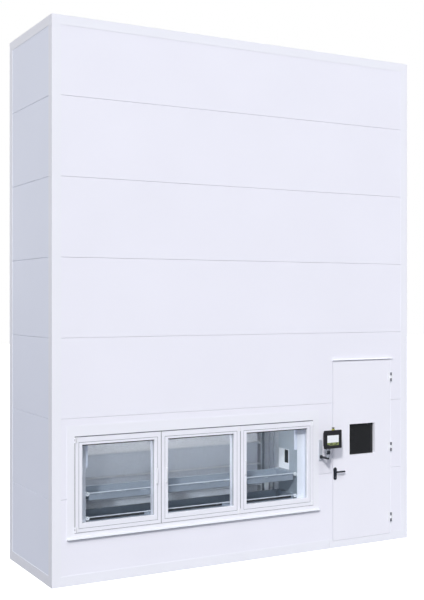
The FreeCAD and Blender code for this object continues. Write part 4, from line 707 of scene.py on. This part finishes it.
def make_door_hinges():
    """Dark barrels over and under a white knuckle, on white leaves held by screws."""
    barrels, fixed, moving, screws_fixed, screws_moving = [], [], [], [], []
    third = DOOR_HINGE_HALF * 2 / 3
    left, right = DOOR_AXIS - LEAF_REACH, DOOR_AXIS + LEAF_REACH
    clear = DOOR_KNUCKLE + 1
    leaf_y, neck_y = (SKIN - LEAF, SKIN), (DOOR_HINGE_Y + 4, SKIN)
    rows = (screws_fixed, right - LEAF_SCREW_X), (screws_moving, left + LEAF_SCREW_X)
    for z in DOOR_HINGES:
        low, high = z - DOOR_HINGE_HALF, z + DOOR_HINGE_HALF
        fixed.append(block((DOOR_AXIS + clear, right), leaf_y, (low, high), 0.6, 2, 5))
        moving.append(block((left, DOOR_AXIS - clear), leaf_y, (low, high), 0.6, 2, 5))
        for start in (low, high - third + 0.2):
            base = (DOOR_AXIS, DOOR_HINGE_Y, start)
            barrels.append(turned(barrel(DOOR_KNUCKLE, third - 0.2, 1.5), base))
            neck = (DOOR_AXIS, DOOR_AXIS + clear + 2)
            fixed.append(block(neck, neck_y, (start + 1, start + third - 2), 0.8))
        inner = (low + third + 0.3, high - third - 0.3)
        base = (DOOR_AXIS, DOOR_HINGE_Y, inner[0])
        moving.append(turned(barrel(DOOR_KNUCKLE, inner[1] - inner[0], 0.6), base))
        neck = (DOOR_AXIS - clear - 2, DOOR_AXIS)
        moving.append(block(neck, neck_y, grow(inner, -1), 0.8))
        for height in (low + LEAF_SCREW_Z, z, high - LEAF_SCREW_Z):
            for heads, x in rows:
                heads.append(screw((x, SKIN - LEAF, height), (0, -1, 0), 4.5))
    posts, leaves, white = "door_hinge_posts", "door_hinge_leaves", "white_hardware"
    piece("door_hinge_barrels", "machine", "hinge_steel", barrels, posts)
    for side, body, plates, screws, node in (
        ("fixed", "machine", fixed, screws_fixed, posts),
        ("moving", "service_door", moving, screws_moving, leaves),
    ):
        piece(f"door_hinge_{side}_leaves", body, white, plates, node)
        piece(f"door_hinge_{side}_screws", body, white, screws, node)


# The lever: place, reach, how far it stands out, radius and bend; then the back plate
LEVER_X, LEVER_Z = 1322, 985
LEVER_REACH, LEVER_OUT, LEVER_RADIUS, LEVER_BEND = 123, 50, 11.5, 15
PLATE_Z, PLATE = (879, 1039), 9
KEY_DROP, PLATE_SCREW = 72, 14


def make_lever_set():
    """Long back plates with a key hole, and a bent lever on each face of the door."""
    outer = block(grow((LEVER_X, LEVER_X), 25), (SKIN - PLATE, SKIN), PLATE_Z, 2.5, 3, 24, 10)
    inner_y = (DOOR_BACK, DOOR_BACK + PLATE)
    inner = block(grow((LEVER_X, LEVER_X), 18), inner_y, PLATE_Z, 2.5, 3, 17, 10)
    slot, plates = "black_metal", "door_back_plates"
    piece("lever_back_plates", "service_door", slot, [outer, inner], plates)
    keyway = [(0, 0), (6, 0), (8.5, 0.4), (9, 1.4), (8.2, 2), (0, 2)]
    rose = [(11.5, 0), (14, 0), (14, 2.5), (13.2, 4), (11.5, 4.6)]
    caps, keys, bars = [], [], []
    for door_face, way in ((SKIN, -1), (DOOR_BACK, 1)):
        face, ahead = door_face + PLATE * way, (0, way, 0)
        keys.append(turned(keyway, (LEVER_X, face, LEVER_Z - KEY_DROP), ahead, 28))
        for height in grow(PLATE_Z, -PLATE_SCREW):
            caps.append(screw((LEVER_X, face - way * 0.3, height), ahead, 4))
        start, far = face + way * 0.5, door_face + LEVER_OUT * way
        plan = (LEVER_X, start), (LEVER_X, far), (LEVER_X + LEVER_REACH, far)
        bars.append(bent_bar([(x, y, LEVER_Z) for x, y in plan], LEVER_BEND, LEVER_RADIUS, 20))
        bars.append(turned(rose, (LEVER_X, start + way * 0.1, LEVER_Z), ahead))
    piece("lock_cylinders", "service_door", slot, keys, plates, "hinge_steel")
    piece("back_plate_screws", "service_door", slot, caps, plates)
    piece("door_levers", "lever", slot, bars, "door_lever")


def make_door_joint_strip():
    """The white strip that closes the joint on the door's hinge side."""
    strip = block((2226, 2229.5), (SKIN + 1, SKIN + 8), DOOR_Z, 0.5)
    piece("door_joint_strip", "machine", "trim", [strip])


make_door_hinges()
make_lever_set()
make_door_joint_strip()


# Sashes: frames, pulls, hinges and gaskets

SASH_NUMBERS = (1, 2, 3)
SASH_JOINT = 3
SASH_Z = (BAY_LOW + SASH_JOINT, BAY_HIGH - SASH_JOINT)
SASH_FRONT, SASH_BACK = -760, -708.5
# Widths of stiles and rails up to the pane, and of the head up to the dark strip of painted shade
# under it
STILE, RAIL, HEAD = 85, 100, 88
# The flat outer band, wider at the head, and the groove that ends it
BAND, HEAD_EXTRA, GROOVE = 41, 16, 6
GROOVE_FLOOR, INNER_BAND, PANE_FRONT = SASH_FRONT + 6, SASH_FRONT + 1, -731
REBATE = 9.9


def sash_field(number):
    """The limits across the front of the field that a sash fills."""
    low = BAY_LEFT + SASH_PITCH * (number - 1)
    return low, low + SASH_PITCH


def make_sash_frame(number):
    """Welded profiles: a flat band, a fine groove, an inner band and a glazing rebate."""
    x, z = grow(sash_field(number), -SASH_JOINT), SASH_Z

    def ring(side, foot, head, y):
        return (x[0] + side, x[1] - side), (z[0] + foot, z[1] - head), y

    def band(inset, y):
        return ring(inset, inset, inset + HEAD_EXTRA, y)

    rebate = (STILE - REBATE, RAIL - REBATE, RAIL - REBATE)
    profile = stepped_frame([
        ring(1, 1, 1, SASH_FRONT), band(BAND, SASH_FRONT),
        band(BAND + 0.6, GROOVE_FLOOR), band(BAND + GROOVE - 0.6, GROOVE_FLOOR),
        band(BAND + GROOVE, INNER_BAND), ring(STILE - 0.4, RAIL - 0.4, HEAD - 0.4, INNER_BAND),
        ring(STILE, RAIL, HEAD, PANE_FRONT - 4), ring(STILE, RAIL, RAIL, PANE_FRONT - 3.5),
        ring(STILE, RAIL, RAIL, PANE_FRONT), ring(*rebate, PANE_FRONT),
        ring(*rebate, SASH_BACK), ring(1, 1, 1, SASH_BACK),
    ], 0.5)
    light_x, light_z = grow(x, -STILE), grow(z, -RAIL)

    def pane_band(reach, *sizes):
        return gasket(grow(light_x, reach), grow(light_z, reach), *sizes)

    bead = pane_band(9.7, 10.5, -711, SASH_BACK, 0.6)
    spacer = pane_band(8.8, 7.6, -726.9, -715.1, 0.4)
    outer = pane_band(0.5, 2.5, PANE_FRONT - 3, PANE_FRONT, 0.6)
    # A grey strip along the groove's floor that darkens the groove: painted shade
    seam_x, seam_z, _ = band(BAND + 0.8, GROOVE_FLOOR)
    seam = gasket(seam_x, seam_z, GROOVE - 1.2, GROOVE_FLOOR - 3, GROOVE_FLOOR + 0.2)
    # A dark strip across the top of the pane: painted shade for the shadow the head casts on the
    # pane
    head_shade_z = (light_z[1] - 1, light_z[1] + RAIL - HEAD - 0.2)
    head_shade_strip = block(grow(light_x, -0.2), (-738, -733), head_shade_z, 0.8)
    weather = gasket(grow(x, -8), grow(z, -8), 9, -708.4, -706.3, 0.4)

    name = body = f"sash_{number}"
    node = f"{name}_frame"
    piece(f"{name}_profiles", body, "profile_white", [profile], node)
    piece(f"{name}_inner_bead", body, "profile_white", [bead], node)
    piece(f"{name}_pane_spacer", body, "profile_white", [spacer], node, "spacer_metal")
    piece(f"{name}_glazing_gasket", body, "seal_rubber", [outer], finish="pale_rubber")
    piece(f"{name}_groove_painted_shade", body, "seal_rubber", [seam], finish="pale_rubber")
    # The head gasket piece is that dark strip of painted shade
    piece(f"{name}_head_gasket", body, "seal_rubber", [head_shade_strip])
    piece(f"{name}_weather_seal", body, "seal_rubber", [weather])


# Pulls: height over the bay's foot, length, distance from the free edge, how far they stand out
PULL_LOW, PULL_LENGTH, PULL_IN, PULL_OUT, PULL_RADIUS = 468, 185, 60, 26, 6
SASH_KNUCKLE, SASH_AXIS_IN, SASH_AXIS_Y = 7, 7.5, -768
# Sash hinges: half their height, their middle's distance from the sash's ends, one barrel's part
SASH_HINGE_HALF, SASH_HINGE_IN, SASH_BARREL = 30, 32, 19.8


def make_sash_fittings(number):
    """The bow pull and the hinge leaves of one sash."""
    field, z = sash_field(number), SASH_Z
    x = grow(field, -SASH_JOINT)
    hinge_left = number == 1
    centre = x[1] - PULL_IN if hinge_left else x[0] + PULL_IN
    low, high = grow((BAY_LOW + PULL_LOW, BAY_LOW + PULL_LOW + PULL_LENGTH), -PULL_RADIUS)
    near, far = SASH_FRONT + 2, SASH_FRONT - PULL_OUT
    corners = [(centre, near, low), (centre, far, low), (centre, far, high), (centre, near, high)]
    pull = [bent_bar(corners, 14, PULL_RADIUS)]
    foot = [(6, 0), (9.5, 0), (9.5, 1.2), (8, 2.4), (6, 2.8)]
    for height in (low, high):
        pull.append(turned(foot, (centre, SASH_FRONT, height), (0, -1, 0), 24))

    edge, side = (field[0], 1) if hinge_left else (field[1], -1)
    axis_x, axis_y = edge + SASH_AXIS_IN * side, SASH_AXIS_Y
    leaf_face = SASH_FRONT - 2.5
    leaves, fixed, screws = [], [], []
    for middle in grow(z, -SASH_HINGE_IN):
        bottom, top = middle - SASH_HINGE_HALF, middle + SASH_HINGE_HALF
        inner = (bottom + SASH_BARREL + 0.4, top - SASH_BARREL - 0.4)
        reach = sorted((axis_x + 9 * side, axis_x + 32 * side))
        leaves.append(block(reach, (leaf_face, SASH_FRONT), (bottom, top), 0.5, 2, 4))
        knuckle = barrel(SASH_KNUCKLE, inner[1] - inner[0], 0.6)
        leaves.append(turned(knuckle, (axis_x, axis_y, inner[0])))
        neck = sorted((axis_x, axis_x + 12 * side))
        leaves.append(block(neck, (SASH_FRONT - 4.5, SASH_FRONT), grow(inner, -0.5), 0.6))
        for start in (bottom, top - SASH_BARREL):
            fixed.append(turned(barrel(SASH_KNUCKLE, SASH_BARREL, 1.4), (axis_x, axis_y, start)))
            strap = sorted((edge + 0.1 * side, edge + 2.5 * side))
            strap_z = (start + 0.5, start + SASH_BARREL - 0.5)
            fixed.append(block(strap, (axis_y, -706), strap_z, 0.4))
        for height in (bottom + 10, top - 10):
            screws.append(screw((axis_x + 21 * side, leaf_face, height), (0, -1, 0), 3.2))

    name = body = f"sash_{number}"
    slot, node = "white_hardware", f"{name}_hardware"
    piece(f"{name}_pull", body, slot, pull, node)
    piece(f"{name}_hinge_leaves", body, slot, leaves, node)
    piece(f"{name}_hinge_screws", body, slot, screws, node)
    piece(f"{name}_hinge_knuckles", "machine", slot, fixed, "sash_hinge_leaves")


for sash_number in SASH_NUMBERS:
    make_sash_frame(sash_number)
    make_sash_fittings(sash_number)


def make_joint_seals():
    """Seals in the joints of the sashes, a grey strip of painted shade under the sill, and a
    gasket at the surround's head.
    """
    joint_z = grow((BAY_LOW, BAY_HIGH), -0.4)
    seals = [
        gasket(grow(sash_field(number), -0.4), joint_z, 2.2, -756, -706) for number in SASH_NUMBERS
    ]
    piece("sash_joint_seals", "machine", "seal_rubber", seals)
    strip_y = (SKIN - 5, SKIN)
    # A grey strip under the drip sill: painted shade for the dark line under the sill's lip
    under = [block((-2334, 1068), strip_y, (508, 517), 1.2)]
    piece("sill_underside_painted_shade", "machine", "seal_rubber", under, finish="sill_shade_rubber")
    over = [block((-2242, 976), strip_y, (1661.2, 1668), 1.2)]
    piece("surround_head_gasket", "machine", "seal_rubber", over, finish="head_rubber")


make_joint_seals()


# Operator console

CONSOLE_X, CONSOLE_Y, CONSOLE_Z = (1008, 1282), (-950, -890), (1320, 1550)
SCREEN_X, SCREEN_Z = (1062, 1238), (1360, 1486)
# The bezel's rim stands this far over the plate and over the housing behind it
PLATE_STEP, HOUSING_STEP = 14, 28
ARM_X, TILT_Y, TILT_Z = 1090, -920, 1272
BUTTON_X, BUTTON_Y = 1178, -911
# Dark marks on the screen: start, width, foot and top, from its lower left corner
MARKS = ((0, 30, 0, 12), (40, 44, 9, 20), (58, 18, 24, 33), (104, 40, 5, 12), (132, 26, 16, 30))


def make_housing():
    """A bezelled housing on two ears, with its screws."""
    front, back = CONSOLE_Y
    plate_x, plate_z = grow(CONSOLE_X, -PLATE_STEP), grow(CONSOLE_Z, -PLATE_STEP)
    body_x, body_z = grow(CONSOLE_X, -HOUSING_STEP), grow(CONSOLE_Z, -HOUSING_STEP)
    bezel = stepped_frame([
        (CONSOLE_X, CONSOLE_Z, front), (grow(SCREEN_X, 3), grow(SCREEN_Z, 3), front),
        (SCREEN_X, SCREEN_Z, front + 3), (SCREEN_X, SCREEN_Z, front + 10),
        (plate_x, plate_z, front + 17), (CONSOLE_X, CONSOLE_Z, front + 8),
    ], 1.2, 12)
    plate = block(plate_x, (front + 10, front + 18), plate_z, 1.5, 2, 6)
    body = block(body_x, (front + 16, back), body_z, 3, 3, 10)
    ears = []
    for near, far in ((-31, -23.3), (23.3, 31)):
        x = (ARM_X + near, ARM_X + far)
        ears.append(block(x, grow((TILT_Y, TILT_Y), 14), (TILT_Z, body_z[0] + 2), 1.5))
        ears.append(turned(barrel(14, far - near, 1.5), (x[0], TILT_Y, TILT_Z), (1, 0, 0)))
    bolts = [screw((ARM_X + 31 * way, TILT_Y, TILT_Z), (way, 0, 0), 7) for way in (-1, 1)]
    for x in grow(body_x, -14):
        for z in grow(body_z, -14):
            bolts.append(screw((x, back - 0.3, z), (0, 1, 0), 3.5))
    slot, node = "console_black", "console_housing"
    shell = [bezel, plate, body]
    piece("console_housing_shell", "console_head", slot, shell, node)
    piece("console_ears", "console_head", slot, ears, node, "arm_grey")
    piece("console_screws", "console_head", slot, bolts, node, "screw_steel")


def make_display():
    """The lit screen, its row of fields and its dark marks."""
    front, low = CONSOLE_Y[0], SCREEN_Z[0]
    panel = block(grow(SCREEN_X, 2), (front + 4, front + 8), grow(SCREEN_Z, 2), 0.3)
    row = block(SCREEN_X, (front + 3.4, front + 4.2), (low, low + 35), 0.2)
    marks = []
    for start, width, foot, top in MARKS:
        left = SCREEN_X[0] + start
        mark_y, mark_z = (front + 2.9, front + 3.6), (low + foot, low + top)
        marks.append(block((left, left + width), mark_y, mark_z, 0.2))
    slot, node = "screen_glass", "console_screen"
    piece("console_display", "console_head", slot, [panel], node)
    piece("display_status_row", "console_head", slot, [row], node, "status_olive")
    piece("display_status_marks", "console_head", slot, marks, node, "status_dark")


def make_stop_button():
    """The collar on top of the housing and the mushroom button that moves in it."""
    base = (BUTTON_X, BUTTON_Y, CONSOLE_Z[1] - HOUSING_STEP)
    collar = [
        (9, 0), (20, 0), (20, 36), (19.2, 38.6), (17, 40), (12, 40),
        (9, 39), (9, 0),
    ]
    head = [
        (0, -18), (7.5, -18), (7.5, 45.8), (15, 46.2), (18.4, 47.4), (19, 50),
        (18.2, 54.6), (15, 58), (9, 59.6), (0, 60),
    ]
    collars, heads = [turned(collar, base)], [turned(head, base)]
    yellow, dark = "collar_yellow", "button_dark"
    piece("stop_button_collar", "console_head", yellow, collars, "stop_collar")
    piece("stop_mushroom", "button", dark, heads, "stop_button")


# The arm's foot on the bracket, the bracket's face, its ends and the ends of its base plate
ARM_FOOT, ARM_END, BRACKET_FACE = -772, -766, -753
BRACKET_Z, BRACKET_BASE_Z = (1150, 1400), (1138, 1412)


def make_console_arm():
    """The swivelling knuckle, the bar from the wall, and the wall bracket."""
    across = (ARM_X, ARM_X)
    hub = [
        turned(barrel(22, 46, 2), (ARM_X - 23, TILT_Y, TILT_Z), (1, 0, 0)),
        block(grow(across, 21), grow((TILT_Y, TILT_Y), 19), (TILT_Z - 25, TILT_Z), 2.5, 3),
    ]
    ring = [(18, 0), (20.5, 0.8), (20.5, 6), (18, 6.8)]
    post = [
        turned(barrel(18, 48, 1.5), (ARM_X, TILT_Y, 1207.3)),
        turned(ring, (ARM_X, TILT_Y, 1214)),
    ]
    node = "console_swivel"
    piece("console_knuckle", "swivel", "console_black", hub, node, "black_metal")
    piece("console_swivel_post", "swivel", "console_black", post, node, "arm_grey")
    bar_z, foot_z = (1183, 1207), (1173, 1217)
    arm = [
        block(grow(across, 12), (TILT_Y - 12, -786), bar_z, 3, 3),
        block(grow(across, 15), (-792, -770), grow(bar_z, 3), 2.5, 3),
        block(grow(across, 18), (ARM_FOOT, ARM_END), foot_z, 1.2, 2, 6),
    ]
    ahead = (0, -1, 0)
    bolts = [
        screw((ARM_X + aside, ARM_FOOT, z), ahead, 3.2)
        for aside in (-14, 14) for z in grow(foot_z, -4)
    ]
    node = "console_arm"
    piece("console_arm_bar", "machine", "black_metal", arm, node)
    piece("console_arm_screws", "machine", "black_metal", bolts, node, "screw_steel")
    bracket = [
        block(grow(across, 22), (ARM_END, BRACKET_FACE + 0.5), BRACKET_Z, 2, 3, 4),
        block(grow(across, 22), (BRACKET_FACE, SKIN), BRACKET_BASE_Z, 0.8, 2, 5),
    ]
    fixings = [screw((ARM_X, BRACKET_FACE, z), ahead, 4) for z in grow(BRACKET_BASE_Z, -6)]
    node = "console_bracket"
    piece("console_wall_bracket", "machine", "bracket_grey", bracket, node)
    piece("bracket_screws", "machine", "bracket_grey", fixings, node, "screw_steel")


make_housing()
make_display()
make_stop_button()
make_console_arm()


# Picking bay: lamps, sensor, rims painted bright as highlights, stops, and strips of painted shade
# on the lower tray

TRAY_X = (-2058, 792)
TRAY_FRONT, TRAY_REAR, REAR_TRAY_FRONT = -640.5, -225.5, 225.5
UPPER_TRAY_TOP, LOWER_TRAY_TOP, TRAY_PITCH = 1000, 725, 280
LAMP_X, LAMP_TOP, LAMP_DEPTH = (-2050, 784), 1688, 10
# The front lamp and the narrower rear lamp
LAMPS_Y = ((-640, -600), (-260, -226))
# Dark strips on the lower tray's front, one below each sash: painted shade under the tray's rim
SHADE_STRIPS_X = ((-2046, -1333), (-1100, -288), (-60, 717))


def rim_strips(name, body, fronts, z, finish):
    """Hems along the rims of a tray, on the outer face of each rim."""
    shapes = [block(grow(TRAY_X, -12), y, z, 0.5) for y in fronts]
    piece(name, body, "tray_zinc", shapes, finish=finish)


def make_lamps():
    """Two lamps under the bay's ceiling, each a housing and a glowing cover."""
    low = LAMP_TOP - LAMP_DEPTH
    housings = [block(LAMP_X, y, (low, LAMP_TOP), 2) for y in LAMPS_Y]
    covers = [block(grow(LAMP_X, -10), grow(y, -4), (low - 6, low + 0.5), 2) for y in LAMPS_Y]
    piece("bay_lamp_housings", "machine", "sensor_grey", housings)
    piece("bay_lamp_diffusers", "machine", "sensor_grey", covers, finish="lamp_white")


def make_bay_fittings():
    """The sensor in its plate, the trays' hems, some painted bright as highlights, their stops,
    and dark strips of painted shade on the lower tray.
    """
    sensor = [block((799.4, 803.9), (-451, -368), (1094, 1261), 0.8)]
    piece("bay_sensor_body", "machine", "sensor_grey", sensor, finish="sensor_black")
    # Hems in rim_zinc are painted highlights: bright strips where light catches the trays' rims
    hems = ((TRAY_FRONT - 1.5, TRAY_FRONT), (TRAY_REAR, TRAY_REAR + 1.3))
    for name, top in (("upper", UPPER_TRAY_TOP), ("lower", LOWER_TRAY_TOP)):
        rim_strips(f"{name}_tray_painted_highlight_hems", f"{name}_tray", hems, (top - 9, top + 0.6), "rim_zinc")
    top = UPPER_TRAY_TOP
    # A taller bright hem on the rear tray's rim: painted highlight
    highlight_hem = [(REAR_TRAY_FRONT - 1.9, REAR_TRAY_FRONT)]
    rim_strips("rear_tray_painted_highlight_hem", "machine", highlight_hem, (top - 13, top + 8), "rim_zinc")
    for number in (1, 2):
        top += TRAY_PITCH
        hem, z = [(REAR_TRAY_FRONT - 1.3, REAR_TRAY_FRONT)], (top - 13, top + 8)
        rim_strips(f"rear_tray_hem_{number}", "machine", hem, z, "pale_tray_zinc")
    tyre = [
        (7, 0), (22, 0), (23.5, 1.2), (23.5, 4.4), (22, 5.6), (7, 5.6), (7, 0),
    ]
    stops = [
        turned(tyre, (x, TRAY_FRONT - 0.7, height - 14), (0, -1, 0), 40)
        for height in (UPPER_TRAY_TOP, LOWER_TRAY_TOP) for x in grow(TRAY_X, -14)
    ]
    piece("tray_stop_rollers", "machine", "zinc", stops, finish="roller_white")
    # Dark strips on the lower tray's face that stand in for the shade under its rim: painted shade
    shade_strip_y, shade_strip_z = (TRAY_FRONT - 2.1, TRAY_FRONT - 0.1), (689, 715)
    shade_strips = [block(x, shade_strip_y, shade_strip_z, 0.5) for x in SHADE_STRIPS_X]
    piece("lower_tray_painted_shade_strips", "lower_tray", "tray_zinc", shade_strips, finish="seal_rubber")


make_lamps()
make_bay_fittings()

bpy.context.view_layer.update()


# Studio

FLOOR_HALF = 60
# Distant softboxes: the way their light travels, power, spread in degrees and colour
SOFTBOXES = {
    "key_sun": ((0.524, 0.646, -0.555), 1.9, 5, "#fffdf9"),
    "front_softbox": ((0.52, 0.83, -0.2), 0.88, 45, "#fbfcff"),
    "overhead_softbox": ((0.1, 0.55, -0.83), 0.95, 18, "#fbfcff"),
    "rear_sun": ((-0.55, -0.75, -0.36), 1.5, 20, "#f4f7ff"),
}
# The camera in metres and degrees: where it stands, its turn to the right, its lens in mm
CAMERA_PLACE, CAMERA_TURN, CAMERA_LENS = (-6.390, -11.397, 3.186), -29, 60.834


def make_floor():
    """A pale floor that the camera sees near white and that throws little light back."""
    mesh = bpy.data.meshes.new("studio_floor")
    sheet = bmesh.new()
    bmesh.ops.create_grid(sheet, x_segments=1, y_segments=1, size=FLOOR_HALF)
    sheet.to_mesh(mesh)
    sheet.free()
    material, tree, place = blank("studio_floor_paint")
    ray = add(tree, "LightPath").outputs["Is Camera Ray"]
    tone = grain(tree, place, 3000, 1)
    grey = blend_of(tree, tone, linear("#7a7d84"), linear("#7f8289"))
    matt = add(tree, "BsdfDiffuse", {"Color": blend_of(tree, ray, grey, linear("#f6f6f8"))})
    lift = maths(tree, "MULTIPLY", ray, 0.72)
    lit = add(tree, "Emission", {"Color": linear("#ffffff"), "Strength": lift})
    both = add(tree, "AddShader", {0: matt.outputs[0], 1: lit.outputs[0]})
    add(tree, "OutputMaterial", {"Surface": both.outputs[0]})
    mesh.materials.append(material)
    placed("studio_floor", mesh)


def make_world():
    """A faint cool light from all round, and white for the camera, gloss and glass."""
    world = bpy.data.worlds.new("studio")
    scene.world = world
    world.use_nodes = True
    tree = world.node_tree
    tree.nodes.clear()
    rays = add(tree, "LightPath").outputs
    seen = maths(tree, "MAXIMUM", rays["Is Camera Ray"], rays["Is Glossy Ray"])
    seen = maths(tree, "MAXIMUM", seen, rays["Is Transmission Ray"])
    soft = add(tree, "Background", {"Color": [0.92, 0.96, 1.08, 1], "Strength": 0.215})
    white = add(tree, "Background", {"Color": linear("#ffffff"), "Strength": 1})
    mix = add(tree, "MixShader", {0: seen, 1: soft.outputs[0], 2: white.outputs[0]})
    add(tree, "OutputWorld", {"Surface": mix.outputs[0]})


def softbox(name, way, power, spread, colour):
    """A distant softbox whose light travels along a direction."""
    data = bpy.data.lights.new(name, "SUN")
    data.energy, data.angle, data.color = power, math.radians(spread), linear(colour)[:3]
    lamp = placed(name, data)
    lamp.rotation_euler = Vector(way).to_track_quat("-Z", "Y").to_euler()


def make_camera():
    """The level camera from which the photo was taken."""
    camera = bpy.data.cameras.new("photo_camera")
    camera.sensor_fit, camera.sensor_width, camera.sensor_height = "VERTICAL", 36, 36
    camera.lens, camera.shift_y = CAMERA_LENS, 0.001
    camera.clip_end = 200
    holder = placed("photo_camera", camera)
    holder.location = CAMERA_PLACE
    holder.rotation_euler = (math.radians(90), 0, math.radians(CAMERA_TURN))
    scene.camera = holder
    scene.view_settings.view_transform = "Standard"


make_floor()
make_world()
for name, settings in SOFTBOXES.items():
    softbox(name, *settings)
make_camera()
